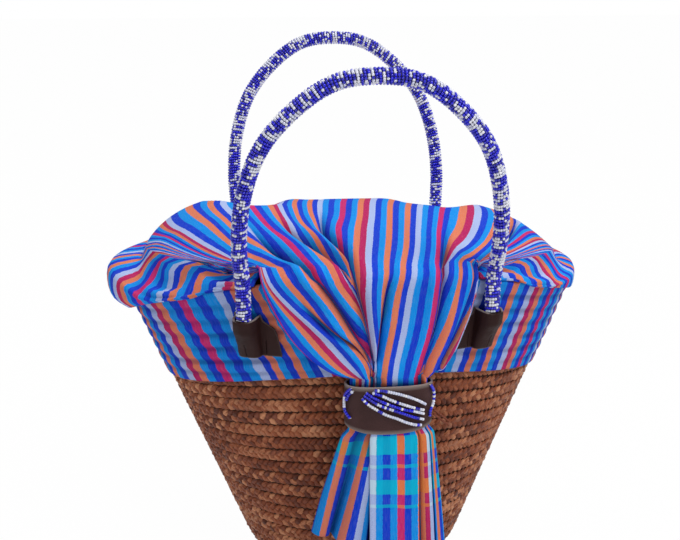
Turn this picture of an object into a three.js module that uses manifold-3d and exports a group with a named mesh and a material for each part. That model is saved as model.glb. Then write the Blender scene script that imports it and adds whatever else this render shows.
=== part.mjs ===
// Kiondo basket: a plaited basket with an oval mouth, a cloth cover drawn through a leather cuff,
// and two beaded rope handles. Millimetres, +Z up, the front (cuff side) faces -Y.
import * as THREE from "three";
import { mergeVertices } from "three/addons/utils/BufferGeometryUtils.js";
import Module from "manifold-3d";

// Driving dimensions of the plaited basket
const MOUTH_WIDTH = 404;
const MOUTH_DEPTH = 270;
const BASE_WIDTH = 205;
const RIM_HEIGHT = 253;
const RIM_RISE = 40;
const WALL_THICKNESS = 7;
const BASE_CORNER = 12;

// Cloth collar sewn over the rim
const COLLAR_DROP = 75;
const COLLAR_LIFT = 6;
const COLLAR_TURN_IN = 24;
const CLOTH_THICKNESS = 2;
const SEAM_GAP = 0.4;

// Cloth cover over the mouth
const COVER_PUFF = 14;
const COVER_RISE = 4;
const COVER_NECK_GAP = 4.4;
const COVER_FOLD_DEPTH = 5;
const MOUTH_FOLD_DEPTH = 9;
const LEFT_LOBE = 20;
const LEFT_LOBE_RISE = 22;
const LEFT_SHOULDER = 13;
const RIGHT_LOBE = 6;
const RIGHT_LOBE_RISE = 12;
const RIGHT_SHOULDER = 2;
const SHOULDER_INSET = 12;
const LIP_REACH = 5;
const LIP_DROP = 5;
const COVER_EDGE_LIFT = 3;
const COVER_NECK_HEIGHT = 5;

// Leather cuff that gathers the cover
const CUFF_WIDTH = 73;
const CUFF_DEPTH = 28;
const CUFF_HEIGHT = 36;
const CUFF_DROOP = 6;
const CUFF_DROP = 44;
const CUFF_SHIFT = 14;
const LEATHER_THICKNESS = 2;

// Gathered tail of the cover below the cuff
const TAIL_WIDTH = 120;
const TAIL_DEPTH = 40;
const TAIL_HEM = 46;
const TAIL_CLOTH = 1.5;
const TAIL_CLEARANCE = 0.6;

// Handles and the leather tabs that hold their feet
const HANDLE_SPREAD = 204;
const HANDLE_HEIGHT = 172;
const HANDLE_LEAN = 14.5;
const BEAD_TUBE = 13.2;
const ROPE_DIAMETER = 9.2;
const ROPE_CLEARANCE = 0.3;
const PIVOT_ABOVE_RIM = 7;
const FOLD_OUT_ANGLE = 140;
const TAB_HEIGHT = 34;
const TAB_MOUTH_DROP = 23;
const TAB_MOUTH_WIDTH = 21;
const TAB_MOUTH_DIP = 3.5;
const TAB_BOTTOM_WIDTH = 36;
const TAB_SLIT_HEIGHT = 13;
const TAB_SLIT_WIDTH = 1.2;
const BEAD_NECK_DEPTH = 4;
const ROPE_END_DEPTH = 9;

// Bead strands and laces on the cuff
const STRAND_DIAMETER = 2.7;
const LACE_DIAMETER = 2.2;
const LACE_SPACING = 4;

const MOUTH_A = MOUTH_WIDTH / 2;
const MOUTH_B = MOUTH_DEPTH / 2;
const BASE_R = BASE_WIDTH / 2;
const TUBE_R = BEAD_TUBE / 2;
const ROPE_R = ROPE_DIAMETER / 2;
const COLLAR_OUT = SEAM_GAP + CLOTH_THICKNESS;
const COVER_SPREAD = HANDLE_SPREAD - BEAD_TUBE - 2 * COVER_NECK_GAP;
const MERGE_TOLERANCE = 0.001;

const wasm = await Module();
wasm.setup();

const basket = new THREE.Group();
const degrees = (angle) => (angle * Math.PI) / 180;
const lerp = THREE.MathUtils.lerp;
const smooth = (x, low, high) => THREE.MathUtils.smoothstep(x, low, high);

function addPiece(name, geometry, look) {
  const mesh = new THREE.Mesh(geometry, new THREE.MeshStandardMaterial(look));
  mesh.name = name;
  basket.add(mesh);
  return mesh;
}

const PLAIT_LOOK = { color: 0x84502f, roughness: 0.85, metalness: 0 };
const CLOTH_LOOK = { color: 0x1c62cf, roughness: 0.9, metalness: 0 };
const LEATHER_LOOK = { color: 0x3a2a26, roughness: 0.65, metalness: 0 };
const BEAD_LOOK = { color: 0x3a3fc8, roughness: 0.25, metalness: 0 };
const ROPE_LOOK = { color: 0xb8a890, roughness: 0.9, metalness: 0 };

// Boolean cuts and joins

function toSolid(geometry) {
  const bare = geometry.index ? geometry.toNonIndexed() : geometry.clone();
  bare.deleteAttribute("normal");
  bare.deleteAttribute("uv");
  const merged = mergeVertices(bare, MERGE_TOLERANCE);
  return new wasm.Manifold(
    new wasm.Mesh({
      numProp: 3,
      vertProperties: merged.attributes.position.array,
      triVerts: new Uint32Array(merged.index.array),
    }),
  );
}

function fromSolid(solid) {
  const mesh = solid.getMesh();
  const geometry = new THREE.BufferGeometry();
  geometry.setAttribute("position", new THREE.BufferAttribute(mesh.vertProperties, 3));
  geometry.setIndex(new THREE.BufferAttribute(mesh.triVerts, 1));
  return geometry;
}

// A closed surface through rings of points. Each ring has the same number of points. With
// closeRings the last ring joins the first, otherwise the two end rings are capped.
function loft(rings, closeRings) {
  const count = rings[0].length;
  const positions = [];
  for (const ring of rings) for (const point of ring) positions.push(point.x, point.y, point.z);
  const index = [];
  const bands = closeRings ? rings.length : rings.length - 1;
  for (let i = 0; i < bands; i++) {
    const next = (i + 1) % rings.length;
    for (let j = 0; j < count; j++) {
      const k = (j + 1) % count;
      const a = i * count + j;
      const b = i * count + k;
      const c = next * count + k;
      const d = next * count + j;
      index.push(a, b, c, a, c, d);
    }
  }
  if (!closeRings) {
    const last = (rings.length - 1) * count;
    for (const start of [0, last]) {
      const flat = rings[start / count];
      const centre = new THREE.Vector3();
      for (const point of flat) centre.addScaledVector(point, 1 / count);
      const hub = positions.length / 3;
      positions.push(centre.x, centre.y, centre.z);
      for (let j = 0; j < count; j++) {
        const k = (j + 1) % count;
        if (start === 0) index.push(hub, start + k, start + j);
        else index.push(hub, start + j, start + k);
      }
    }
  }
  const geometry = new THREE.BufferGeometry();
  geometry.setAttribute("position", new THREE.Float32BufferAttribute(positions, 3));
  geometry.setIndex(index);
  return facingOut(geometry);
}

function facingOut(geometry) {
  const p = geometry.attributes.position;
  const index = geometry.index.array;
  const a = new THREE.Vector3();
  const b = new THREE.Vector3();
  const c = new THREE.Vector3();
  let volume = 0;
  for (let i = 0; i < index.length; i += 3) {
    a.fromBufferAttribute(p, index[i]);
    b.fromBufferAttribute(p, index[i + 1]);
    c.fromBufferAttribute(p, index[i + 2]);
    volume += a.dot(b.cross(c));
  }
  if (volume < 0) {
    for (let i = 0; i < index.length; i += 3) {
      [index[i + 1], index[i + 2]] = [index[i + 2], index[i + 1]];
    }
  }
  return geometry;
}

// A closed shell between two grids of points that lie a thickness apart.
function shellBetween(inner, outer) {
  const rows = inner.length;
  const columns = inner[0].length;
  const positions = [];
  for (const side of [inner, outer])
    for (const row of side) for (const point of row) positions.push(point.x, point.y, point.z);
  const at = (side, i, j) => side * rows * columns + i * columns + j;
  const index = [];
  const quad = (a, b, c, d) => index.push(a, b, c, a, c, d);
  const lastRow = rows - 1;
  const lastColumn = columns - 1;
  for (let i = 0; i < lastRow; i++) {
    for (let j = 0; j < lastColumn; j++) {
      quad(at(0, i, j), at(0, i, j + 1), at(0, i + 1, j + 1), at(0, i + 1, j));
      quad(at(1, i, j), at(1, i + 1, j), at(1, i + 1, j + 1), at(1, i, j + 1));
    }
    quad(at(0, i, 0), at(0, i + 1, 0), at(1, i + 1, 0), at(1, i, 0));
    quad(at(0, i, lastColumn), at(1, i, lastColumn), at(1, i + 1, lastColumn), at(0, i + 1, lastColumn));
  }
  for (let j = 0; j < lastColumn; j++) {
    quad(at(0, 0, j), at(1, 0, j), at(1, 0, j + 1), at(0, 0, j + 1));
    quad(at(0, lastRow, j), at(0, lastRow, j + 1), at(1, lastRow, j + 1), at(1, lastRow, j));
  }
  const geometry = new THREE.BufferGeometry();
  geometry.setAttribute("position", new THREE.Float32BufferAttribute(positions, 3));
  geometry.setIndex(index);
  return facingOut(geometry);
}

// A sheet given as a grid of points becomes a shell that grows along the sheet's own normals.
function sheetShell(grid, thickness) {
  const rows = grid.length;
  const columns = grid[0].length;
  const outer = grid.map((row, i) =>
    row.map((point, j) => {
      const along = new THREE.Vector3().subVectors(
        grid[Math.min(i + 1, rows - 1)][j],
        grid[Math.max(i - 1, 0)][j],
      );
      const across = new THREE.Vector3().subVectors(
        row[Math.min(j + 1, columns - 1)],
        row[Math.max(j - 1, 0)],
      );
      return point.clone().addScaledVector(along.cross(across).normalize(), thickness);
    }),
  );
  return shellBetween(grid, outer);
}

// The wall: a cone from a round base to an oval mouth whose rim rises at front and back

const wallA = (share) => lerp(BASE_R, MOUTH_A, share);
const wallB = (share) => lerp(BASE_R, MOUTH_B, share);
const wallZ = (share, angle) =>
  RIM_HEIGHT * share + RIM_RISE * Math.sin(angle) ** 2 * share ** 1.5;

// A point at a share of the wall's height, moved out along the plan normal and up.
function onWall(share, angle, out, up = 0) {
  const a = wallA(share);
  const b = wallB(share);
  const normal = new THREE.Vector2(Math.cos(angle) / a, Math.sin(angle) / b).normalize();
  const z = wallZ(share, angle) + up;
  const inset = cornerInset(z);
  return new THREE.Vector3(
    a * Math.cos(angle) + (out - inset) * normal.x,
    b * Math.sin(angle) + (out - inset) * normal.y,
    z,
  );
}

function cornerInset(z) {
  if (z >= BASE_CORNER) return 0;
  const drop = Math.max(0, Math.min(1, 1 - z / BASE_CORNER));
  return BASE_CORNER * (1 - Math.sqrt(1 - drop ** 2));
}

// The share of the wall's height and the depth of its outer face at a place on the front.
function frontAt(x, z) {
  let share = z / RIM_HEIGHT;
  let sine = 1;
  for (let step = 0; step < 12; step++) {
    const cosine = Math.min(1, Math.abs(x) / wallA(share));
    sine = Math.sqrt(1 - cosine ** 2);
    share = z / (RIM_HEIGHT + RIM_RISE * sine ** 2 * Math.sqrt(Math.max(share, 0)));
  }
  return { share, depth: wallB(share) * sine };
}

const RING_SEGMENTS = 48;
const ringAngle = (i) => (2 * Math.PI * i) / RING_SEGMENTS;

function ringOf(profile) {
  const rings = [];
  for (let i = 0; i < RING_SEGMENTS; i++) rings.push(profile(ringAngle(i)));
  return loft(rings, true);
}

const CORNER_STEPS = 3;
const COLLAR_INSIDE = 1 - COLLAR_TURN_IN / RIM_HEIGHT;

// The collar's lower edge follows the rim, a little higher at front and back.
const collarLow = (angle) =>
  1 - (COLLAR_DROP - COLLAR_LIFT * Math.sin(angle) ** 2) / RIM_HEIGHT;
const collarMiddle = (angle) => (1 + collarLow(angle)) / 2;
const FOOT_R = BASE_R - BASE_CORNER;

function addBase() {
  const profile = [
    new THREE.Vector2(0, 0),
    new THREE.Vector2(FOOT_R - SEAM_GAP, 0),
    new THREE.Vector2(FOOT_R - SEAM_GAP, WALL_THICKNESS),
    new THREE.Vector2(0, WALL_THICKNESS),
  ];
  const disc = new THREE.LatheGeometry(profile, RING_SEGMENTS).rotateX(Math.PI / 2);
  addPiece("basket_base", disc, PLAIT_LOOK);
}

function addWall() {
  const profile = (angle) => {
    const around = new THREE.Vector3(Math.cos(angle), Math.sin(angle), 0);
    const at = (radius, z) => around.clone().multiplyScalar(radius).setZ(z);
    const outer = [];
    const inner = [];
    for (let k = 0; k <= CORNER_STEPS; k++) {
      const turn = ((Math.PI / 2) * k) / CORNER_STEPS;
      const bend = BASE_CORNER;
      outer.push(at(FOOT_R + bend * Math.sin(turn), bend - bend * Math.cos(turn)));
      const tight = bend - WALL_THICKNESS;
      inner.push(at(FOOT_R + tight * Math.sin(turn), bend - tight * Math.cos(turn)));
    }
    const low = collarLow(angle);
    for (const share of [low / 2, low, collarMiddle(angle), COLLAR_INSIDE, 1]) {
      outer.push(onWall(share, angle, 0));
      inner.push(onWall(share, angle, -WALL_THICKNESS));
    }
    return [...outer, ...inner.reverse()];
  };
  addPiece("basket_wall", ringOf(profile), PLAIT_LOOK);
}

// The collar: a band down the outside, over the rim and a little way down the inside

function addCollar() {
  const profile = (angle) => {
    const gap = SEAM_GAP;
    const cloth = COLLAR_OUT;
    const deep = -WALL_THICKNESS;
    return [
      onWall(collarLow(angle), angle, cloth),
      onWall(collarMiddle(angle), angle, cloth),
      onWall(1, angle, cloth),
      onWall(1, angle, gap, cloth),
      onWall(1, angle, deep - gap, cloth),
      onWall(1, angle, deep - cloth, gap),
      onWall(COLLAR_INSIDE, angle, deep - cloth),
      onWall(COLLAR_INSIDE, angle, deep - gap),
      onWall(1, angle, deep - gap, gap),
      onWall(1, angle, gap, gap),
      onWall(collarMiddle(angle), angle, gap),
      onWall(collarLow(angle), angle, gap),
    ];
  };
  addPiece("cloth_collar", ringOf(profile), CLOTH_LOOK);
}

// The cuff: a flattened oval band, its front edge drooping in the middle

const CUFF_POWER = 2.6;
const CUFF_A = CUFF_WIDTH / 2;
const CUFF_B = CUFF_DEPTH / 2;
const CUFF_TOP = RIM_HEIGHT - CUFF_DROP;
const CUFF_Y = -(frontAt(0, CUFF_TOP).depth + COLLAR_OUT + SEAM_GAP + CUFF_B);
const CUFF_BOTTOM = CUFF_TOP - CUFF_HEIGHT;
const CUFF_SEGMENTS = 48;
const power = (value, exponent) => Math.sign(value) * Math.abs(value) ** exponent;

// A point on the cuff's outer face: turn 0 is the middle of the front, positive to the right.
function onCuff(turn, z, out) {
  return new THREE.Vector3(
    CUFF_SHIFT + (CUFF_A + out) * power(Math.sin(turn), 2 / CUFF_POWER),
    CUFF_Y - (CUFF_B + out) * power(Math.cos(turn), 2 / CUFF_POWER),
    z,
  );
}

function addCuff() {
  const rings = [];
  for (let i = 0; i < CUFF_SEGMENTS; i++) {
    const turn = (2 * Math.PI * i) / CUFF_SEGMENTS;
    const droop = CUFF_DROOP * Math.max(0, Math.cos(turn)) ** 2;
    const inward = -LEATHER_THICKNESS;
    rings.push([
      onCuff(turn, CUFF_BOTTOM - droop, 0),
      onCuff(turn, CUFF_TOP, 0),
      onCuff(turn, CUFF_TOP, inward),
      onCuff(turn, CUFF_BOTTOM - droop, inward),
    ]);
  }
  addPiece("cuff_band", loft(rings, true), LEATHER_LOOK);
}

// Bead strands fan over the cuff's front, and short loops close each end

const STRAND_STEPS = 8;
const STRAND_SIDES = 6;

function strandTube(points, diameter, steps) {
  const section = new THREE.Shape();
  section.absarc(0, 0, diameter / 2, 0, 2 * Math.PI);
  return new THREE.ExtrudeGeometry(section, {
    curveSegments: STRAND_SIDES / 2,
    steps,
    extrudePath: new THREE.CatmullRomCurve3(points),
  });
}

// Start turn and height share, end turn and height share, sag as a share of the cuff's height
const STRAND_SHARES = [
  [-0.05, 0.92, 0.62, 0.6, -0.05],
  [-0.09, 0.82, 0.61, 0.47, 0.01],
  [-0.22, 0.78, 0.6, 0.36, 0.05],
  [-0.27, 0.68, 0.59, 0.24, 0.07],
  [-0.33, 0.58, 0.57, 0.1, 0.11],
];

function addStrands() {
  const out = STRAND_DIAMETER / 2 + SEAM_GAP;
  STRAND_SHARES.forEach(([turn0, height0, turn1, height1, sag], number) => {
    const points = [];
    for (let i = 0; i <= STRAND_STEPS; i++) {
      const s = i / STRAND_STEPS;
      const height = lerp(height0, height1, s) - sag * 4 * s * (1 - s);
      const turn = (lerp(turn0, turn1, s) * Math.PI) / 2;
      points.push(onCuff(turn, CUFF_BOTTOM + CUFF_HEIGHT * height, out));
    }
    const tube = strandTube(points, STRAND_DIAMETER, STRAND_STEPS);
    addPiece("cuff_strand_" + (number + 1), tube, BEAD_LOOK);
  });
}

// Turn and height shares of each end loop, with its name
const END_LOOP_SHARES = {
  cuff_loop_left_outer: [
    [-0.5, 0.95],
    [-0.7, 0.8],
    [-0.78, 0.58],
    [-0.7, 0.38],
    [-0.52, 0.22],
  ],
  cuff_loop_left_inner: [
    [-0.44, 0.84],
    [-0.58, 0.7],
    [-0.62, 0.54],
  ],
  cuff_loop_right: [
    [0.76, 0.96],
    [0.88, 0.78],
    [0.86, 0.6],
    [0.78, 0.42],
    [0.74, 0.2],
  ],
};

function addEndLoops() {
  const out = STRAND_DIAMETER / 2 + SEAM_GAP;
  for (const [name, shares] of Object.entries(END_LOOP_SHARES)) {
    const points = shares.map(([turn, height]) =>
      onCuff((turn * Math.PI) / 2, CUFF_BOTTOM + CUFF_HEIGHT * height, out),
    );
    addPiece(name, strandTube(points, STRAND_DIAMETER, STRAND_STEPS), BEAD_LOOK);
  }
}

// Two laces run from the cuff's lower right end into the plaited wall

const LACE_REACH = 22;
const LACE_FALL = 30;
const LACE_END_TURN_SHARE = 0.86;
const LACE_HEIGHT_SHARE = 0.3;

function addLaces() {
  const radius = LACE_DIAMETER / 2;
  const names = ["cuff_lace_upper", "cuff_lace_lower"];
  names.forEach((name, number) => {
    const turn = (LACE_END_TURN_SHARE * Math.PI) / 2;
    const high = CUFF_BOTTOM + CUFF_HEIGHT * LACE_HEIGHT_SHARE - number * LACE_SPACING;
    const start = onCuff(turn, high, radius + SEAM_GAP);
    const x = start.x + LACE_REACH;
    const z = high - LACE_FALL;
    const end = new THREE.Vector3(x, -(frontAt(x, z).depth + SEAM_GAP + radius), z);
    const middle = new THREE.Vector3().lerpVectors(start, end, 0.5);
    middle.y = Math.min(middle.y, -(frontAt(middle.x, middle.z).depth + LACE_SPACING));
    addPiece(name, strandTube([start, middle, end], LACE_DIAMETER, STRAND_STEPS), LEATHER_LOOK);
  });
}

// The tail: a packed plug inside the cuff that opens into hanging folds below it

// Fold outline seen from above, as shares of half width and half depth, front folds first:
// two round folds on the left, a flat panel in the middle, narrow folds on the right
const TAIL_FOLD_SHARES = [
  [-1, 0.1],
  [-0.93, -0.62],
  [-0.76, -0.95],
  [-0.6, -0.45],
  [-0.44, -0.85],
  [-0.3, -1],
  [-0.2, -0.5],
  [-0.08, -0.8],
  [0.3, -0.85],
  [0.42, -0.4],
  [0.54, -0.82],
  [0.66, -0.42],
  [0.8, -0.8],
  [0.96, -0.5],
  [1, 0.15],
  [0.84, 0.8],
  [0.62, 0.45],
  [0.36, 0.95],
  [0.08, 0.5],
  [-0.2, 0.95],
  [-0.48, 0.5],
  [-0.76, 0.85],
];
const TAIL_FLARE_POWER = 0.8;
const TAIL_FOLD_START_SHARE = 0.45;
const TAIL_CAVITY_SHARE = 0.72;
const TAIL_POINTS = 50;
const TAIL_ROWS = 7;
const TAIL_CAVITY_ROWS = 4;
const TAIL_TOP = CUFF_TOP;
const TAIL_NECK = CUFF_BOTTOM - CUFF_DROOP;

function tailOutline(z, inset) {
  const plugA = CUFF_A - LEATHER_THICKNESS - TAIL_CLEARANCE;
  const plugB = CUFF_B - LEATHER_THICKNESS - TAIL_CLEARANCE;
  const fall = Math.max(0, Math.min(1, (TAIL_NECK - z) / (TAIL_NECK - TAIL_HEM)));
  const open = fall ** TAIL_FLARE_POWER;
  const halfWidth = lerp(plugA, TAIL_WIDTH / 2, open);
  const halfDepth = lerp(plugB, TAIL_DEPTH / 2, open);
  const folds = new THREE.CatmullRomCurve3(
    TAIL_FOLD_SHARES.map(([x, y]) => new THREE.Vector3(x, y, 0)),
    true,
  );
  const points = [];
  for (let i = 0; i < TAIL_POINTS; i++) {
    const folded = folds.getPoint(i / TAIL_POINTS);
    const turn = Math.atan2(folded.x, -folded.y);
    const round = new THREE.Vector2(
      power(Math.sin(turn), 2 / CUFF_POWER),
      -power(Math.cos(turn), 2 / CUFF_POWER),
    );
    const shape = smooth(fall, 0, TAIL_FOLD_START_SHARE);
    points.push(
      new THREE.Vector3(
        CUFF_SHIFT + halfWidth * lerp(round.x, folded.x, shape),
        CUFF_Y + halfDepth * lerp(round.y, folded.y, shape),
        z,
      ),
    );
  }
  return inset ? insetOutline(points, inset) : points;
}

function insetOutline(points, inset) {
  const count = points.length;
  return points.map((point, i) => {
    const along = new THREE.Vector3().subVectors(
      points[(i + 1) % count],
      points[(i + count - 1) % count],
    );
    const inward = new THREE.Vector3(-along.y, along.x, 0).normalize();
    return point.clone().addScaledVector(inward, inset);
  });
}

function addTail() {
  const rings = [tailOutline(TAIL_TOP, 0), tailOutline(TAIL_NECK, 0)];
  for (let i = 1; i <= TAIL_ROWS; i++) {
    rings.push(tailOutline(lerp(TAIL_NECK, TAIL_HEM, i / TAIL_ROWS), 0));
  }
  for (let i = 0; i <= TAIL_CAVITY_ROWS; i++) {
    const z = lerp(TAIL_HEM, TAIL_NECK, (TAIL_CAVITY_SHARE * i) / TAIL_CAVITY_ROWS);
    rings.push(tailOutline(z, TAIL_CLOTH));
  }
  addPiece("cloth_tail", loft(rings, false), CLOTH_LOOK);
}

// The feet of the handles, outside the rim

const FOOT_X = HANDLE_SPREAD / 2;
const NECK_STANDOFF = COLLAR_OUT + TUBE_R + 2 * ROPE_CLEARANCE;

// The feet stand beside the rim: the angle there follows from how far apart they are.
function footAngle() {
  let angle = Math.acos(FOOT_X / MOUTH_A);
  for (let step = 0; step < 20; step++) {
    angle += (onWall(1, angle, NECK_STANDOFF).x - FOOT_X) / MOUTH_A;
  }
  return angle;
}

const FOOT_ANGLE = footAngle();
const FOOT_Y = onWall(1, FOOT_ANGLE, NECK_STANDOFF).y;
const RIM_AT_FOOT = wallZ(1, FOOT_ANGLE);
const MOUTH_Z = RIM_AT_FOOT - TAB_MOUTH_DROP;
const PIVOT_Z = RIM_AT_FOOT + PIVOT_ABOVE_RIM;

// The wall's share and angle straight behind the foot's axis at a height, and the distance.
function seatAt(z) {
  let angle = FOOT_ANGLE;
  let share = 1;
  for (let step = 0; step < 20; step++) {
    share = z / (RIM_HEIGHT + RIM_RISE * Math.sin(angle) ** 2 * Math.sqrt(share));
    const a = wallA(share);
    const b = wallB(share);
    const tangent = new THREE.Vector2(-a * Math.sin(angle), b * Math.cos(angle));
    const away = new THREE.Vector2(FOOT_X - a * Math.cos(angle), FOOT_Y - b * Math.sin(angle));
    angle += away.dot(tangent) / tangent.lengthSq();
  }
  const seat = onWall(share, angle, 0);
  return { share, angle, standoff: Math.hypot(FOOT_X - seat.x, FOOT_Y - seat.y) };
}

// The cover: a sheet from the rim's back and sides to the front, gathered into the cuff

const COVER_MOUTH_STEPS = 4;
const COVER_DRAPE_STEPS = 4;
const COVER_EDGE_ANGLE = FOOT_ANGLE + degrees(2);
const LIP_CLEAR_ANGLE = degrees(7);
const LIP_FULL_ANGLE = degrees(17);
const COVER_TOP_INSET_SHARE = 0.7;
const COVER_GATHER_SHARE = 0.9;
const COVER_BEND_SHARE = 0.35;
const COVER_SAG_SHARE = 0.1;

// How far the lip may stand out over the rim: nothing beside the handle necks.
function lipWeight(angle) {
  const necks = [-FOOT_ANGLE, FOOT_ANGLE, Math.PI - FOOT_ANGLE, Math.PI + FOOT_ANGLE];
  const nearest = Math.min(...necks.map((neck) => Math.abs(angle - neck)));
  return smooth(nearest, LIP_CLEAR_ANGLE, LIP_FULL_ANGLE);
}

// At the two ends of the oval the lip swells into a lobe, which ends sooner towards the front.
const LOBE_BACK_POWER = 6;
const LOBE_FRONT_POWER = 14;

function lipShape(angle) {
  const side = Math.cos(angle);
  const swell = Math.abs(side) ** (Math.sin(angle) < 0 ? LOBE_FRONT_POWER : LOBE_BACK_POWER);
  return {
    reach: lerp(LIP_REACH, side < 0 ? LEFT_LOBE : RIGHT_LOBE, swell),
    rise: (side < 0 ? LEFT_LOBE_RISE : RIGHT_LOBE_RISE) * swell,
  };
}

// The cover stands fuller than the rim along the back and over both shoulders, and comes down
// to the rim at the front.
const SHOULDER_POWER = 7;
const SHOULDER_START_SHARE = 0.1;
const SHOULDER_FULL_SHARE = 0.6;
const SHOULDER_BACK_SHARE = -0.19;
const SHOULDER_FRONT_SHARE = -0.37;
const SHOULDER_OPEN = 3;

function shoulderLift(x, y) {
  const across = Math.abs(x) / MOUTH_A;
  const ridge = RIM_RISE * (across ** 2 - across ** SHOULDER_POWER);
  const swell = smooth(across, SHOULDER_START_SHARE, SHOULDER_FULL_SHARE);
  const front = -Math.sqrt(Math.max(0, 1 - across ** 2)) + SHOULDER_FRONT_SHARE;
  const puff = (x < 0 ? LEFT_SHOULDER : RIGHT_SHOULDER) * swell;
  return (ridge + puff) * smooth(y / MOUTH_B, front, SHOULDER_BACK_SHARE);
}

// Out and up of the rim points where the lip rolls over the rim, with the lip's reach and drop
// as units, and each point's share of the lobe's rise
const LIP_ROLL_SHARES = [
  [0.8, -1, 0],
  [1, -0.2, 0.5],
  [0.8, 0.45, 1],
];
const COVER_TOP = COLLAR_OUT + COVER_RISE;

// Where the valleys between the cover's folds run, as shares of its half width: at the back
// rim, halfway over the mouth, at the front rim, halfway down to the cuff and in the cuff
const FOLD_LINE_SHARES = [
  [-1, -0.36, -0.2, -0.05, 0.1, 0.22, 0.4, 1],
  [-1, -0.57, -0.38, -0.115, 0.1, 0.29, 0.64, 1],
  [-1, -0.8, -0.56, -0.22, 0.14, 0.6, 0.86, 1],
  [-1, -0.66, -0.4, -0.17, 0.03, 0.53, 0.8, 1],
  [-1, -0.71, -0.43, -0.2, 0.02, 0.4, 0.72, 1],
];
const FOLD_COLUMNS = [9, 4, 4, 5, 5, 4, 9];
const FOLD_START_SHARE = 0.4;
const FOLD_END_SHARE = 0.7;

// Each column's place across the cover at the five levels, and 1 on a fold, -1 in a valley
function foldColumns() {
  const columns = [];
  FOLD_COLUMNS.forEach((count, k) => {
    const last = k === FOLD_COLUMNS.length - 1;
    for (let j = 0; j < count + (last ? 1 : 0); j++) {
      const places = FOLD_LINE_SHARES.map((line) => lerp(line[k], line[k + 1], j / count));
      columns.push({ places, fold: -Math.cos((2 * Math.PI * j) / count) });
    }
  });
  return columns.reverse();
}

// The place across at a level, where 1 is halfway over the mouth, 2 the front rim, 4 the cuff
function placeAt(places, level) {
  const k = Math.min(Math.floor(level), places.length - 2);
  return lerp(places[k], places[k + 1], level - k);
}

function coverAngle(across) {
  return lerp(-COVER_EDGE_ANGLE, Math.PI + COVER_EDGE_ANGLE, (1 - across) / 2);
}

function shoulderPoint(across) {
  const angle = coverAngle(across);
  const point = onWall(1, angle, -SHOULDER_INSET, COVER_TOP);
  point.z += shoulderLift(point.x, point.y) * lipWeight(angle);
  return point;
}

function rimRow(across) {
  const angle = coverAngle(across);
  const weight = lipWeight(angle);
  const { reach, rise } = lipShape(angle);
  const flatUp = COLLAR_OUT + 3 * SEAM_GAP;
  const row = LIP_ROLL_SHARES.map(([out, up, lift], k) => {
    const flatOut = COLLAR_OUT * (1 - k / LIP_ROLL_SHARES.length);
    const rolledUp = up * LIP_DROP + lift * rise;
    return onWall(1, angle, lerp(flatOut, out * reach, weight), lerp(flatUp, rolledUp, weight));
  });
  const top = COVER_TOP + rise * weight;
  row.push(onWall(1, angle, -WALL_THICKNESS * COVER_TOP_INSET_SHARE, top), shoulderPoint(across));
  return row;
}

// A point between the back rim and the front rim, on a crowned surface with folds.
function mouthPoint(across, s, fold) {
  const start = shoulderPoint(across);
  const end = onWall(1, -Math.acos((COVER_SPREAD / 2) * (across / MOUTH_A)), -WALL_THICKNESS / 2);
  const x = lerp(start.x, end.x, s);
  const y = lerp(start.y, end.y, s);
  const ridge = RIM_RISE * (1 - (x / MOUTH_A) ** 2);
  const inner = Math.max(0, 1 - (x / MOUTH_A) ** 2 - (y / MOUTH_B) ** 2);
  const opening = smooth(s, 0, FOLD_START_SHARE);
  const deep = lerp(MOUTH_FOLD_DEPTH, COVER_FOLD_DEPTH, smooth(s, FOLD_END_SHARE, 1));
  const lift = COVER_FOLD_DEPTH * s - (opening * deep * (1 - fold)) / 2;
  const weight = lipWeight(coverAngle(across));
  const shoulder = shoulderLift(x, y) * lerp(weight, 1, Math.min(1, SHOULDER_OPEN * s));
  const z = RIM_HEIGHT + ridge + COVER_TOP + COVER_PUFF * inner + shoulder + lift;
  return new THREE.Vector3(x, y, z);
}

// Below the front rim the cover lies down the collar's outside and draws together into the cuff.
function neckPoint(across, fold, z) {
  const plugA = CUFF_A - LEATHER_THICKNESS - CLOTH_THICKNESS - TAIL_CLEARANCE;
  const plugB = CUFF_B - LEATHER_THICKNESS - CLOTH_THICKNESS - TAIL_CLEARANCE;
  const place = across * COVER_GATHER_SHARE;
  const inside = (1 - Math.abs(place) ** CUFF_POWER) ** (1 / CUFF_POWER);
  return new THREE.Vector3(CUFF_SHIFT + plugA * place, CUFF_Y - plugB * inside * fold, z);
}

function drapePoint(across, s, fold) {
  const shoulder = mouthPoint(across, 1, fold);
  shoulder.y -= WALL_THICKNESS / 2 + COLLAR_OUT + COVER_EDGE_LIFT;
  shoulder.z -= COVER_RISE;
  if (s === 0) return shoulder;
  const neck = neckPoint(across, fold, CUFF_TOP + COVER_NECK_HEIGHT);
  const bendX = lerp(shoulder.x, neck.x, COVER_BEND_SHARE);
  const bendZ = lerp(neck.z, shoulder.z, COVER_SAG_SHARE);
  const x = (1 - s) ** 2 * shoulder.x + 2 * s * (1 - s) * bendX + s ** 2 * neck.x;
  const z = (1 - s) ** 2 * shoulder.z + 2 * s * (1 - s) * bendZ + s ** 2 * neck.z;
  const skin = frontAt(x, Math.min(z, wallZ(1, Math.acos(x / MOUTH_A)))).depth;
  const lying = -(skin + COLLAR_OUT + COVER_EDGE_LIFT + (COVER_FOLD_DEPTH * (1 + fold)) / 2);
  return new THREE.Vector3(x, lerp(lying, neck.y, smooth(s, 0, 1)), z);
}

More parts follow.
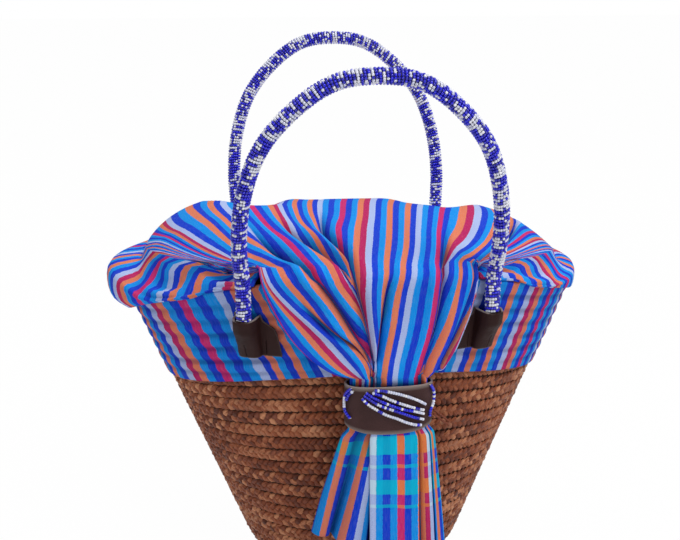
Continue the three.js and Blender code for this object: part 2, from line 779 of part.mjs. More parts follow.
function addCover() {
  const grid = foldColumns().map(({ places, fold }) => {
    const row = rimRow(places[0]);
    for (let k = 1; k <= COVER_MOUTH_STEPS; k++) {
      const s = k / COVER_MOUTH_STEPS;
      row.push(mouthPoint(placeAt(places, 2 * s), s, fold));
    }
    for (let k = 0; k <= COVER_DRAPE_STEPS; k++) {
      const s = k / COVER_DRAPE_STEPS;
      row.push(drapePoint(placeAt(places, 2 + 2 * s), s, fold));
    }
    row.push(neckPoint(places[places.length - 1], fold, CUFF_TOP + SEAM_GAP));
    return row;
  });
  addPiece("cloth_cover", sheetShell(grid, CLOTH_THICKNESS), CLOTH_LOOK);
}

// Handles: a beaded rope arch that turns about its feet, and the fixed necks below the feet

// Half of the arch, from a foot to the crown, as shares of half spread and of height
const ARCH_SHARES = [
  [1, 0],
  [1.02, 0.2],
  [0.98, 0.44],
  [0.84, 0.68],
  [0.57, 0.87],
  [0.3, 0.975],
  [0, 1],
];
const ARCH_STEPS = 30;
const TUBE_SIDES = 10;
const CAP_RINGS = 4;

function archCurve() {
  const lean = degrees(HANDLE_LEAN);
  const half = ARCH_SHARES.map(([x, h]) => {
    const rise = h * HANDLE_HEIGHT;
    return new THREE.Vector3(
      x * FOOT_X,
      -FOOT_Y - rise * Math.sin(lean),
      PIVOT_Z + rise * Math.cos(lean),
    );
  });
  const mirrored = half
    .slice(0, -1)
    .reverse()
    .map((point) => new THREE.Vector3(-point.x, point.y, point.z));
  return new THREE.CatmullRomCurve3([...half, ...mirrored], false, "centripetal");
}

function roundSection(radius) {
  const section = new THREE.Shape();
  section.absarc(0, 0, radius, 0, 2 * Math.PI);
  return section;
}

function archTube(radius) {
  return new THREE.ExtrudeGeometry(roundSection(radius), {
    curveSegments: TUBE_SIDES / 2,
    steps: ARCH_STEPS,
    extrudePath: archCurve(),
  });
}

// The whole handle outline: the arch tube with a ball about each foot.
function archOutline() {
  let outline = toSolid(archTube(TUBE_R));
  for (const side of [-1, 1]) {
    const ball = new THREE.SphereGeometry(TUBE_R, TUBE_SIDES, 2 * CAP_RINGS);
    ball.rotateX(Math.PI / 2);
    ball.translate(side * FOOT_X, -FOOT_Y, PIVOT_Z);
    outline = outline.add(toSolid(ball));
  }
  return outline;
}

function coreReach(radius) {
  let solid = toSolid(archTube(radius));
  for (const side of [-1, 1]) {
    const end = new THREE.CylinderGeometry(radius, radius, 2 * TUBE_R, TUBE_SIDES);
    end.rotateX(Math.PI / 2);
    end.translate(side * FOOT_X, -FOOT_Y, PIVOT_Z - TUBE_R);
    solid = solid.add(toSolid(end));
  }
  return solid;
}

function addHandle(name, front) {
  const outline = archOutline();
  const core = outline.intersect(coreReach(ROPE_R));
  const sleeve = outline.subtract(coreReach(ROPE_R + ROPE_CLEARANCE));
  const pieces = [
    [name + "_rope", core, ROPE_LOOK],
    [name + "_beads", sleeve, BEAD_LOOK],
  ];
  for (const [piece, solid, look] of pieces) {
    const mesh = addPiece(piece, fromSolid(solid), look);
    if (!front) mesh.rotation.z = Math.PI;
  }
}

// The necks stand in the tabs' mouths. Their tops are cut on the slope that the arch reaches
// when it lies folded out.
function neckCutter() {
  const size = HANDLE_SPREAD;
  const box = new THREE.BoxGeometry(size, size, size);
  box.translate(0, 0, size / 2 - (TUBE_R + ROPE_CLEARANCE));
  box.rotateX(degrees(FOLD_OUT_ANGLE - 90));
  return box;
}

function neckSolid(outerRadius, innerRadius, depth) {
  const height = PIVOT_Z - MOUTH_Z + depth;
  const outer = new THREE.CylinderGeometry(outerRadius, outerRadius, height, 2 * TUBE_SIDES);
  outer.rotateX(Math.PI / 2);
  outer.translate(0, 0, -height / 2);
  let solid = toSolid(outer);
  if (innerRadius > 0) {
    const bore = new THREE.CylinderGeometry(innerRadius, innerRadius, 2 * height, 2 * TUBE_SIDES);
    bore.rotateX(Math.PI / 2);
    solid = solid.subtract(toSolid(bore));
  }
  return solid.subtract(toSolid(neckCutter()));
}

const CORNERS = [
  ["front_left", -1, 1],
  ["front_right", 1, 1],
  ["rear_left", -1, -1],
  ["rear_right", 1, -1],
];

function addNecks() {
  for (const [corner, side, front] of CORNERS) {
    const rope = fromSolid(neckSolid(ROPE_R, 0, ROPE_END_DEPTH));
    const beads = fromSolid(neckSolid(TUBE_R, ROPE_R + ROPE_CLEARANCE, BEAD_NECK_DEPTH));
    const pieces = [
      [corner + "_rope_end", rope, ROPE_LOOK],
      [corner + "_bead_neck", beads, BEAD_LOOK],
    ];
    for (const [name, geometry, look] of pieces) {
      const mesh = addPiece(name, geometry, look);
      mesh.position.set(side * FOOT_X, -front * FOOT_Y, PIVOT_Z);
      if (front < 0) mesh.rotation.z = Math.PI;
    }
  }
}

// Leather tabs: a skin over the foot of each handle, slit into three fingers below

// Height share below the mouth, share of the widening, share of the bulge that is left
const TAB_ROW_SHARES = [
  [0, 0, 1],
  [0.16, 0.12, 1],
  [0.34, 0.72, 0.95],
  [0.5, 0.84, 0.7],
  [0.75, 0.93, 0.45],
  [1, 1, 0.32],
];
const TAB_SLIT_SHARES = [0.27, 0.66];

// Half of the bulge's section from its crown to its foot: across and up as shares of the
// wrapped radius, up as a share of the rope's height over the cloth, and the outward direction
const BULGE_SHARES = [
  [0, 1, 1, 0],
  [0.71, 0.71, 1, 0.7],
  [1, 0, 1, 1],
  [1, 0, 0.45, 0.9],
  [1.12, 0, 0, 0.2],
];

function tabGeometry(side) {
  const wrap = (TUBE_R + 2 * ROPE_CLEARANCE) / Math.cos(Math.PI / 8);
  const outerEdge = TAB_MOUTH_WIDTH / 2 + LEATHER_THICKNESS / 2;
  const rows = TAB_ROW_SHARES.map(([height, widening, bulge]) => {
    const innerEdge = lerp(TAB_MOUTH_WIDTH, TAB_BOTTOM_WIDTH, widening) - TAB_MOUTH_WIDTH / 2;
    const level = MOUTH_Z + TAB_MOUTH_DIP - height * (TAB_HEIGHT + TAB_MOUTH_DIP);
    const ropeHeight = seatAt(level).standoff - COLLAR_OUT - SEAM_GAP;
    const place = (across, lift) => {
      const dip = TAB_MOUTH_DIP * (1 - Math.min(1, Math.abs(across) / outerEdge) ** 2);
      const z = height === 0 ? level - dip : level;
      return tabPoint(side, across, z, SEAM_GAP + lift);
    };
    const half = BULGE_SHARES.map(([across, up, seat, lean]) => {
      const sideways = lean * bulge;
      return {
        across: across * wrap,
        lift: (up * wrap + seat * ropeHeight) * bulge,
        outAcross: sideways * LEATHER_THICKNESS,
        outLift: Math.sqrt(1 - sideways ** 2) * LEATHER_THICKNESS,
      };
    });
    const section = [
      { across: -innerEdge, lift: 0, outAcross: 0, outLift: LEATHER_THICKNESS },
      ...half
        .slice(1)
        .reverse()
        .map((p) => ({ ...p, across: -p.across, outAcross: -p.outAcross })),
      ...half,
      { across: outerEdge, lift: 0, outAcross: 0, outLift: LEATHER_THICKNESS },
    ];
    return {
      under: section.map((p) => place(p.across, p.lift)),
      over: section.map((p) => place(p.across + p.outAcross, p.lift + p.outLift)),
    };
  });
  return shellBetween(
    rows.map((row) => row.under),
    rows.map((row) => row.over),
  );
}

// A point beside a foot: across runs along the wall, positive away from the basket's middle.
function tabPoint(side, across, z, out) {
  const { share, angle } = seatAt(z);
  const slip = across / Math.hypot(wallA(share) * Math.sin(angle), wallB(share) * Math.cos(angle));
  const point = onWall(share, angle - slip, COLLAR_OUT + out);
  return new THREE.Vector3(side * point.x, -point.y, z);
}

function slitCutter(side, share) {
  const across = TAB_MOUTH_WIDTH / 2 - share * TAB_BOTTOM_WIDTH;
  const low = MOUTH_Z - TAB_HEIGHT;
  const deep = 2 * NECK_STANDOFF;
  const at = tabPoint(side, across, low, 0);
  const out = tabPoint(side, across, low, deep);
  const box = new THREE.BoxGeometry(TAB_SLIT_WIDTH, 2 * deep, 2 * TAB_SLIT_HEIGHT);
  box.rotateZ(Math.atan2(out.y - at.y, out.x - at.x) + Math.PI / 2);
  return box.translate(at.x, at.y, at.z);
}

function addTabs() {
  for (const [corner, side, front] of CORNERS) {
    let solid = toSolid(tabGeometry(side));
    for (const share of TAB_SLIT_SHARES) solid = solid.subtract(toSolid(slitCutter(side, share)));
    const mesh = addPiece(corner + "_tab", fromSolid(solid), LEATHER_LOOK);
    if (front < 0) mesh.scale.y = -1;
  }
}

addBase();
addWall();
addCollar();
addCover();
addTail();
addCuff();
addStrands();
addEndLoops();
addLaces();
addHandle("front_handle", true);
addHandle("rear_handle", false);
addNecks();
addTabs();

export default basket;
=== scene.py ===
"""Looks of the kiondo basket: plaited wall, striped cloth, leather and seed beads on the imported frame."""
import math

import bpy
import numpy as np
from mathutils import Matrix, Vector


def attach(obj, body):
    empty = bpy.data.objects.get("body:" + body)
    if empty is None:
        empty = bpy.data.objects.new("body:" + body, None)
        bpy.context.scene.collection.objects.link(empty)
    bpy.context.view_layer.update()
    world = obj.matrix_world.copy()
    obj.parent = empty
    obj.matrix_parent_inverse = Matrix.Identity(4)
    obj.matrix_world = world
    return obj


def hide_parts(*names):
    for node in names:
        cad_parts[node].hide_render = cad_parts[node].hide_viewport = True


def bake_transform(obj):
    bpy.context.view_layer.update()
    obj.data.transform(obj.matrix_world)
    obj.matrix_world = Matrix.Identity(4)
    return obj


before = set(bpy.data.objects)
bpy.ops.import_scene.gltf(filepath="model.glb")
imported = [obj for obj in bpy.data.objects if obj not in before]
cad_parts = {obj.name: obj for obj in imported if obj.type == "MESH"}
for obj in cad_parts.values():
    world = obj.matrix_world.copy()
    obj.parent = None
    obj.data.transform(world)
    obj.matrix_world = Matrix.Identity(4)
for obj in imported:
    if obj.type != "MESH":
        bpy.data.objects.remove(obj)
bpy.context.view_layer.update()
rng = np.random.default_rng(11)
TAU = 2 * math.pi
MM = 0.001

# ---------------------------------------------------------------- camera
cam_data = bpy.data.cameras.new("photo_camera")
cam_data.lens, cam_data.sensor_width = 56.722, 36
cam_data.shift_x, cam_data.shift_y = -0.0169, 0.0926
cam = bpy.data.objects.new("photo_camera", cam_data)
bpy.context.scene.collection.objects.link(cam)
c_right, c_up, c_fwd = (0.99334, -0.11518, 0.00056), (0.03869, 0.33826, 0.94026), (0.10849, 0.93398, -0.34047)
cam.matrix_world = Matrix([
    (c_right[i], c_up[i], -c_fwd[i], (-0.10995, -0.94659, 0.54507)[i]) for i in range(3)] + [(0, 0, 0, 1)])
bpy.context.scene.camera = cam

# ---------------------------------------------------------------- sizes, mm (as in the solids)
A, B, R0, H, RISE = 202.0, 135.0, 102.5, 253.0, 40.0
WALL, CORNER = 7.0, 12.0
COLLAR_OUT, SEAM = 2.4, 0.4
CUFF_A, CUFF_B, CUFF_TOP, CUFF_LOW, CUFF_X, CUFF_POWER = 36.5, 14.0, 209.0, 173.0, 14.0, 2.6
TUBE_R, SPREAD, ARCH_H, LEAN = 6.6, 204.0, 172.0, math.radians(14.5)
FOOT_X, FOOT_Y, PIVOT_Z, MOUTH_Z = 102.0, -126.803, 290.462, 260.462


def lerp(a, b, t):
    return a + (b - a) * t


def smooth(x, a, b):
    """A soft step: 0 up to a, 1 from b on."""
    t = np.clip((x - a) / (b - a), 0, 1)
    return t * t * (3 - 2 * t)


def unit(v):
    return v / np.maximum(np.linalg.norm(v, axis=-1, keepdims=True), 1e-9)


def run_along(points):
    """The distance of each point along the line through them."""
    return np.concatenate([[0], np.cumsum(np.linalg.norm(np.diff(points, axis=0), axis=1))])


def sample(at, s, points):
    """The line of points, whose distances are s, read at other distances."""
    return np.stack([np.interp(at, s, points[:, k]) for k in range(points.shape[1])], -1)


def looped(points):
    return np.concatenate([points, points[:1]])


def joined(*parts):
    """Vectors from their three parts, which may differ in shape, as one list."""
    return np.stack(np.broadcast_arrays(*parts), -1).reshape(-1, 3)


def spline(a, b, c, d, s):
    """The Catmull-Rom curve from b to c."""
    return 0.5 * (2 * b + (c - a) * s + (2 * a - 5 * b + 4 * c - d) * s ** 2 + (3 * b - a - 3 * c + d) * s ** 3)


def circle(t):
    return np.stack([np.cos(t), np.sin(t), 0 * t], -1)


def value_noise(x, y, seed, wrap=None):
    """Smooth random numbers, -1 to 1, over a plane. wrap is the whole number of cells after which x repeats."""
    table = np.random.default_rng(seed).uniform(-1, 1, (256, 256))
    x0, y0 = np.floor(x).astype(int), int(math.floor(y))
    fx, fy = smooth(x - x0, 0, 1), smooth(y - y0, 0, 1)
    x1 = x0 + 1
    if wrap:
        x0, x1 = x0 % wrap, x1 % wrap
    low, high = (lerp(table[x0 % 256, j % 256], table[x1 % 256, j % 256], fx) for j in (y0, y0 + 1))
    return lerp(low, high, fy)


def on_wall(s, t, out=0.0, up=0.0):
    """A point of the wall's outer face at height share s and angle t, moved out along the plan normal and up."""
    s, t, out, up = np.broadcast_arrays(*[np.asarray(v, float) for v in (s, t, out, up)])
    a, b = lerp(R0, A, s), lerp(R0, B, s)
    nx, ny = np.cos(t) / a, np.sin(t) / b
    d = np.hypot(nx, ny)
    z = H * s + RISE * np.sin(t) ** 2 * np.abs(s) ** 1.5 + up
    drop = np.clip(1 - z / CORNER, 0, 1)
    out = out - CORNER * (1 - np.sqrt(1 - drop ** 2))
    return np.stack([a * np.cos(t) + out * nx / d, b * np.sin(t) + out * ny / d, z], -1)


def front_depth(x, z):
    """Depth of the wall's outer face on the front."""
    s = z / H
    for _ in range(14):
        sine = np.sqrt(1 - np.minimum(1, np.abs(x) / lerp(R0, A, s)) ** 2)
        s = z / (H + RISE * sine ** 2 * np.sqrt(np.maximum(s, 0)))
    return lerp(R0, B, s) * sine


def cuff_half(share):
    """The cuff's depth as a share of its half depth, at a share of its half width."""
    return np.maximum(0, 1 - np.abs(share) ** CUFF_POWER) ** (1 / CUFF_POWER)


# ---------------------------------------------------------------- mesh making

def make(name, verts, quads, attrs, material, others=(), body="basket", replaces=(), slot=None):
    """A mesh object from numpy arrays in mm. others are faces with other numbers of corners."""
    mesh = bpy.data.meshes.new(name)
    loops = np.concatenate([quads.ravel()] + [faces.ravel() for faces in others])
    sizes = np.concatenate([np.full(len(faces), faces.shape[1]) for faces in (quads, *others)])
    starts = np.concatenate([[0], np.cumsum(sizes)[:-1]])
    mesh.vertices.add(len(verts))
    mesh.vertices.foreach_set("co", (verts * MM).ravel().astype(np.float32))
    mesh.loops.add(len(loops))
    mesh.loops.foreach_set("vertex_index", loops.astype(np.int32))
    mesh.polygons.add(len(sizes))
    mesh.polygons.foreach_set("loop_start", starts.astype(np.int32))
    mesh.polygons.foreach_set("loop_total", sizes.astype(np.int32))
    mesh.polygons.foreach_set("use_smooth", np.full(len(sizes), True))
    for key, values in attrs.items():
        kind, field = ("FLOAT_VECTOR", "vector") if values.ndim == 2 else ("FLOAT", "value")
        mesh.attributes.new(key, kind, "POINT").data.foreach_set(field, values.ravel().astype(np.float32))
    mesh.update(calc_edges=True)
    mesh.validate()
    mesh.materials.append(material)
    obj = bpy.data.objects.new(name, mesh)
    bpy.context.scene.collection.objects.link(obj)
    if body:
        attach(obj, body)
    if replaces:
        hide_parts(*replaces)
    return obj


def grid_quads(rows, columns, close_rows=False, close_columns=False):
    i = np.arange(rows if close_rows else rows - 1)
    j = np.arange(columns if close_columns else columns - 1)
    i, j = np.meshgrid(i, j, indexing="ij")
    i1, j1 = (i + 1) % rows, (j + 1) % columns
    return np.stack([i * columns + j, i * columns + j1, i1 * columns + j1, i1 * columns + j], -1).reshape(-1, 4)


def grid_normals(P, close_columns=False):
    across = np.roll(P, -1, 1) - np.roll(P, 1, 1) if close_columns else np.gradient(P, axis=1)
    return unit(np.cross(np.gradient(P, axis=0), across))


def shell(P, thickness, close_columns=False, mask=None, normals=None):
    """A sheet given as a grid of points becomes a closed shell. The grid is its front, the back lies inside."""
    rows, columns = P.shape[:2]
    N = grid_normals(P, close_columns) if normals is None else normals
    front = grid_quads(rows, columns, False, close_columns)
    if mask is not None:
        front = front[mask.ravel()]
    edges = np.concatenate([front[:, [k, (k + 1) % 4]] for k in range(4)]).tolist()
    known = {(a, b) for a, b in edges}
    rim = np.array([e for e in edges if (e[1], e[0]) not in known], int)
    count = rows * columns
    walls = np.stack([rim[:, 1], rim[:, 0], rim[:, 0] + count, rim[:, 1] + count], -1)
    verts = np.concatenate([P.reshape(-1, 3), (P - N * thickness).reshape(-1, 3)])
    return verts, np.concatenate([front, front[:, ::-1] + count, walls])


def cloth_piece(name, P, across, along, painted_shade, thickness, material, replaces, body="basket", close_columns=False):
    """A grid of points as a sheet of cloth, with where each point lies in the woven cloth and how much painted
    shade it gets.
    """
    verts, quads = shell(P, thickness, close_columns)
    cloth = np.concatenate([joined(across, along, painted_shade)] * 2)
    return make(name, verts, quads, {"cloth": cloth}, material, body=body, replaces=replaces, slot="cloth")


def carried_normals(path, first=(1.0, 0, 0)):
    """The directions along a path, and normals carried along it without twist."""
    tangent = unit(np.gradient(path, axis=0))
    normal = np.zeros_like(path)
    v = np.array(first)
    for k in range(len(path)):
        v = v - tangent[k] * (v @ tangent[k])
        v = v / np.linalg.norm(v)
        normal[k] = v
    return tangent, normal


def tube(path, radius, sides):
    """Verts, quads and end faces of a round tube."""
    steep = abs(unit(path[1] - path[0])[2]) >= 0.9
    tangent, normal = carried_normals(path, (0, 1.0, 0) if steep else (0, 0, 1.0))
    side = np.cross(tangent, normal)
    phi = (np.arange(sides) / sides * TAU)[:, None]
    verts = path[:, None] + radius * (side[:, None] * np.cos(phi) + normal[:, None] * np.sin(phi))
    ends = [np.arange(sides)[None, ::-1], np.arange(sides)[None] + (len(path) - 1) * sides]
    return verts.reshape(-1, 3), grid_quads(len(path), sides, False, True), ends


def twisted(path, at, pitch, plies, reach):
    """The numbers and middle lines of plies that twist round a path; at is the distance along it."""
    tangent, normal = carried_normals(path)
    binormal = np.cross(tangent, normal)
    for k in range(plies):
        phase = TAU * (at / pitch + k / plies)
        yield k, path + normal * (reach * np.cos(phase))[:, None] + binormal * (reach * np.sin(phase))[:, None]


class Pile:
    """Collects several meshes that go into one object."""

    def __init__(self):
        self.verts, self.quads, self.others, self.attrs, self.count = [], [], [], {}, 0

    def add(self, verts, quads, others=(), **attrs):
        self.verts.append(verts.reshape(-1, 3))
        self.quads.append(quads + self.count)
        self.others += [faces + self.count for faces in others]
        for key, values in attrs.items():
            self.attrs.setdefault(key, []).append(values)
        self.count += len(self.verts[-1])

    def make(self, name, material, **more):
        attrs = {key: np.concatenate(values) for key, values in self.attrs.items()}
        verts, quads = np.concatenate(self.verts), np.concatenate(self.quads)
        return make(name, verts, quads, attrs, material, self.others, **more)


# ---------------------------------------------------------------- materials

def colour(r, g, b):
    f = lambda v: v / 12.92 if v <= 0.04045 else ((v + 0.055) / 1.055) ** 2.4
    return (f(r / 255), f(g / 255), f(b / 255), 1.0)


def put(tree, socket, value):
    """Sets an input, or links it to another node's output."""
    if isinstance(value, bpy.types.NodeSocket):
        tree.links.new(value, socket)
    else:
        socket.default_value = value


def add_node(tree, kind, *inputs, **settings):
    """A node with its settings and its first inputs, as values or links."""
    node = tree.nodes.new("ShaderNode" + kind)
    for key, value in settings.items():
        setattr(node, key, value)
    for socket, value in zip(node.inputs, inputs):
        put(tree, socket, value)
    return node


class Look:
    """A material with short ways to add nodes."""

    def __init__(self, name, roughness, specular, coat=0.0):
        self.m = bpy.data.materials.new(name)
        self.m.use_nodes = True
        self.t = self.m.node_tree
        self.shader = self.t.nodes["Principled BSDF"]
        self.fill(self.shader, {"Roughness": roughness, "Specular IOR Level": specular, "Coat Weight": coat})

    def fill(self, node, inputs):
        for name, value in inputs.items():
            if value is not None:
                put(self.t, node.inputs[name], value)
        return node

    def node(self, kind, *inputs, **settings):
        return add_node(self.t, kind, *inputs, **settings).outputs[0]

    def math(self, operation, *values, clamp=False):
        return self.node("Math", *values, operation=operation, use_clamp=clamp)

    def times(self, a, b):
        return self.math("MULTIPLY", a, b)

    def attribute(self, name, output="Vector"):
        return add_node(self.t, "Attribute", attribute_name=name).outputs[output]

    def split(self, vector):
        return add_node(self.t, "SeparateXYZ", vector).outputs

    def scaled(self, vector, scale, layer=0.0):
        return self.node("VectorMath", vector, scale, (0, 0, layer), operation="MULTIPLY_ADD")

    def noise(self, vector, scale, detail=2.0, rough=0.5, layer=0.0):
        n = add_node(self.t, "TexNoise", self.scaled(vector, scale, layer))
        return self.fill(n, {"Scale": 1.0, "Detail": detail, "Roughness": rough}).outputs["Fac"]

    def cells(self, vector, scale):
        n = add_node(self.t, "TexVoronoi", self.scaled(vector, scale))
        return self.fill(n, {"Scale": 1.0}).outputs["Distance"]

    def ramp(self, value, stops, constant=False):
        n = add_node(self.t, "ValToRGB", value)
        n.color_ramp.interpolation = "CONSTANT" if constant else "LINEAR"
        e = n.color_ramp.elements
        while len(e) < len(stops):
            e.new(1.0)
        for k, (position, tint) in enumerate(stops):
            e[k].position = position
            e[k].color = tint if not isinstance(tint, float) else (tint, tint, tint, 1)
        return n.outputs[0]

    def mix(self, factor, a, b):
        n = add_node(self.t, "Mix", factor, data_type="RGBA")
        put(self.t, n.inputs[6], a)
        put(self.t, n.inputs[7], b)
        return n.outputs[2]

    def bump(self, height, distance, strength, normal=None):
        return self.fill(add_node(self.t, "Bump"), {
            "Strength": strength, "Distance": distance, "Height": height, "Normal": normal}).outputs[0]

    def finish(self, base, normal, roughness=None):
        self.fill(self.shader, {"Base Color": base, "Normal": normal, "Roughness": roughness})
        return self.m


PERIOD = 102.0
ORDER = "WCOARPARAWROAROAR"
STRIPE = PERIOD / len(ORDER)
STRIPES = dict(W=colour(190, 208, 252), C=colour(206, 30, 86), O=colour(246, 138, 80),
               A=colour(0, 158, 252), R=colour(10, 66, 222), P=colour(224, 40, 108))


def cloth_look(name, plaid=False):
    """Striped cotton from the attribute cloth: across and along the stripes in mm, and painted shade, strongest
    deep in folds.
    """
    k = Look(name, 0.9, 0.12)
    lay = k.attribute("cloth")
    across, along, painted_shade = k.split(lay)
    fuzz = k.noise(lay, (1.6, 0.35, 0.0), 3.0, 0.7)
    ragged = k.math("SUBTRACT", fuzz, 0.5)
    share = k.math("FRACT", k.math("DIVIDE", k.math("ADD", across, k.times(ragged, 1.7)), PERIOD))
    warp = k.ramp(share, [(i / len(ORDER), STRIPES[letter]) for i, letter in enumerate(ORDER)], True)
    fleck = k.ramp(k.noise(lay, (1.5, 0.9, 0.0), 3.0, 0.7, 3.0), [(0.42, 0.0), (0.72, 0.32)])
    base = k.mix(fleck, warp, colour(10, 52, 178))
    slub = k.ramp(k.noise(lay, (3.0, 0.12, 0.0), layer=7.0), [(0.45, 0.0), (0.8, 0.09)])
    base = k.mix(slub, base, colour(235, 238, 250))
    if plaid:
        edge = k.math("ADD", along, k.times(ragged, 0.8))
        band = k.ramp(k.math("DIVIDE", edge, 100.0), [
            (0.0, 0.0), (0.02, 1.0), (0.19, 0.0), (0.285, 0.8), (0.315, 0.0), (0.425, 1.0), (0.56, 0.0),
            (0.66, 0.8), (0.69, 0.0)], True)
        red = k.split(warp)[0]
        warm = k.math("GREATER_THAN", red, 0.55)
        white = k.math("SUBTRACT", k.math("GREATER_THAN", red, 0.3), warm)
        cool = k.mix(white, colour(0, 204, 226), colour(214, 244, 255))
        weft = k.mix(warm, cool, k.mix(fuzz, colour(250, 84, 44), colour(250, 190, 70)))
        base = k.mix(k.times(band, 0.74), base, weft)
    threads = k.math("SINE", k.times(across, TAU / 0.62))
    picks = k.math("SINE", k.times(along, TAU / 0.7))
    weave = k.times(threads, picks)
    base = k.mix(k.math("MULTIPLY_ADD", weave, 0.07, 0.07, clamp=True), base, colour(12, 22, 90))
    # painted shade: the cloth turns dark navy where the attribute's third part is high, deep in folds and gathers
    base = k.mix(k.times(painted_shade, 0.72), base, colour(6, 14, 84))
    crumple = k.bump(k.noise(lay, (0.08, 0.05, 0.0), 4.0, 0.55), 0.0016, 0.55)
    return k.finish(base, k.bump(weave, 0.00012, 0.5, crumple))


def plait_look():
    k = Look("plait_fibre", 0.5, 0.35)
    lay, tone = k.attribute("lay"), k.attribute("tone", "Fac")
    fibre = k.noise(lay, (0.09, 1.6, 1.6), 4.0, 0.65)
    patch = k.noise(lay, (0.05, 0.25, 0.25))
    level = k.math("ADD", k.times(fibre, 0.5), k.math("MULTIPLY_ADD", patch, 0.4, k.times(tone, 0.45)))
    base = k.ramp(level, [(0.30, colour(40, 15, 7)), (0.50, colour(103, 47, 25)), (0.68, colour(152, 80, 47)),
                          (0.88, colour(210, 144, 104))])
    dusty = k.ramp(k.noise(lay, (0.02, 0.1, 0.1), 1.0), [(0.55, 0.0), (0.7, 0.45)])
    base = k.mix(dusty, base, colour(98, 60, 54))
    return k.finish(base, k.bump(fibre, 0.0009, 0.8), k.ramp(fibre, [(0.3, 0.42), (0.7, 0.68)]))


def leather_look(name, body):
    k = Look(name, 0.66, 0.16)
    place, edge = k.attribute("place"), k.attribute("edge", "Fac")
    cloud = k.noise(place, (0.07,) * 3, 3.0)
    grain = k.cells(place, (1.3,) * 3)
    pore = k.noise(place, (2.6,) * 3, 3.0)
    dark, light = (colour(*np.multiply(body, q)) for q in ((0.8, 0.76, 0.74), 1.15))
    base = k.mix(cloud, dark, light)
    base = k.mix(k.ramp(grain, [(0.0, 0.35), (0.5, 0.0)]), base, colour(30, 20, 18))
    base = k.mix(edge, base, k.mix(pore, colour(120, 104, 98), colour(176, 164, 158)))
    normal = k.bump(grain, 0.00045, 0.5, k.bump(pore, 0.0003, 0.5))
    return k.finish(base, normal, k.ramp(pore, [(0.3, 0.45), (0.7, 0.66)]))


def bead_look():
    k = Look("seed_beads", 0.16, 0.6, 0.25)
    tone, place = k.attribute("tone", "Fac"), k.attribute("place")
    base = k.ramp(tone, [(0.0, colour(8, 4, 150)), (0.3, colour(18, 12, 215)), (0.5, colour(24, 22, 232)),
                         (0.51, colour(206, 212, 240)), (1.0, colour(248, 248, 252))])
    glaze = k.noise(place, (0.9,) * 3)
    base = k.mix(k.ramp(glaze, [(0.35, 0.0), (0.8, 0.12)]), base, colour(120, 125, 225))
    return k.finish(base, k.bump(glaze, 0.0001, 0.4), k.ramp(glaze, [(0.3, 0.12), (0.8, 0.3)]))


def fibre_look(name, dark, light, roughness=0.8):
    k = Look(name, roughness, 0.3)
    hair = k.noise(k.attribute("lay"), (0.3, 2.2, 2.2), 3.0, 0.6)
    return k.finish(k.ramp(hair, [(0.3, dark), (0.7, light)]), k.bump(hair, 0.0004, 0.7))


cloth_mat, tail_mat = cloth_look("striped_cotton"), cloth_look("striped_cotton_plaid", True)
plait_mat, bead_mat = plait_look(), bead_look()
leather_mat = leather_look("tab_leather", (47, 25, 24))
cuff_mat = leather_look("cuff_leather", (68, 45, 45))
rope_mat = fibre_look("rope_fibre", colour(70, 62, 80), colour(150, 140, 150))
lace_mat = fibre_look("lace_cord", colour(88, 34, 22), colour(160, 82, 52), 0.6)
thread_mat = fibre_look("sewing_thread", colour(176, 168, 160), colour(226, 220, 212), 0.7)
# a dark sheet inside the wall, which the real basket doesn't have: painted shade behind the gaps between the rows
shade_core_mat = fibre_look("plait_shade_core", colour(36, 18, 10), colour(74, 42, 26))

# ---------------------------------------------------------------- plaited wall and base
# rows up the wall and out over the base, the middle row's radius, and the height share that the collar hides
ROWS, BASE_ROWS, BASE_HOLE, UNDER_COLLAR = 23, 7, 6.0, 0.78
# half width and half thickness of a strand, how far it swings across and lifts, and the length of a turn
STRAND_W, STRAND_T, SWING, LIFT, TURN = 2.85, 1.5, 3.85, 1.45, 16.5


def braid(pile, mid, side, normal, seed, per=8, sides=6):
    """One closed row of a three-strand plait along a closed line of points."""
    r = np.random.default_rng(seed)
    s = run_along(looped(mid))
    n = max(2, round(s[-1] / TURN)) * per
    at = (np.arange(n) + r.uniform(0, 1)) / n * s[-1] % s[-1]
    mid, side, normal = (sample(at, s, looped(q)) for q in (mid, side, normal))
    side, normal = unit(side), unit(normal)
    x = np.arange(n)
    phi = np.arange(sides) / sides * TAU
    ca, sa = STRAND_W * np.cos(phi), STRAND_T * np.sin(phi)

    def noise(cell, line, number):
        return value_noise(x / cell, line, seed + number, wrap=max(1, int(n / cell)))

    for k in range(3):
        phase = TAU * (x / per + k / 3)
        wob = noise(5, k * 7.3, 1)
        y = SWING * (1 + 0.10 * wob) * np.sin(phase) + 0.35 * wob
        z = LIFT * np.sin(2 * phase) + 0.25 * noise(3, k * 3.1, 2)
        path = mid + side * y[:, None] + normal * z[:, None]
        tangent = unit(np.roll(path, -1, 0) - np.roll(path, 1, 0))
        wide = unit(np.cross(normal, tangent))
        high = np.cross(tangent, wide)
        grow = 1 + 0.10 * noise(4, k * 5.7, 3)
        ring = path[:, None] + (wide[:, None] * ca[:, None] + high[:, None] * sa[:, None]) * grow[:, None, None]
        lay = joined((at + seed * 31.7 + k * 913)[:, None], ca + k * 11 + seed % 17, sa)
        tone = 0.5 + 0.5 * noise(per * 1.5, k * 9.1 + 0.5, 4)
        pile.add(ring, grid_quads(n, sides, True, True), lay=lay, tone=np.repeat(tone, sides))


def wall_frame(s, t):
    """Middle of the wall's thickness, the way up the wall and the way out."""
    e = 0.004
    middle = lambda s, t: on_wall(s, t, -WALL / 2)
    up = unit(middle(s + e, t) - middle(np.maximum(s - e, 0), t))
    return middle(s, t), up, unit(np.cross(middle(s, t + e) - middle(s, t - e), up))


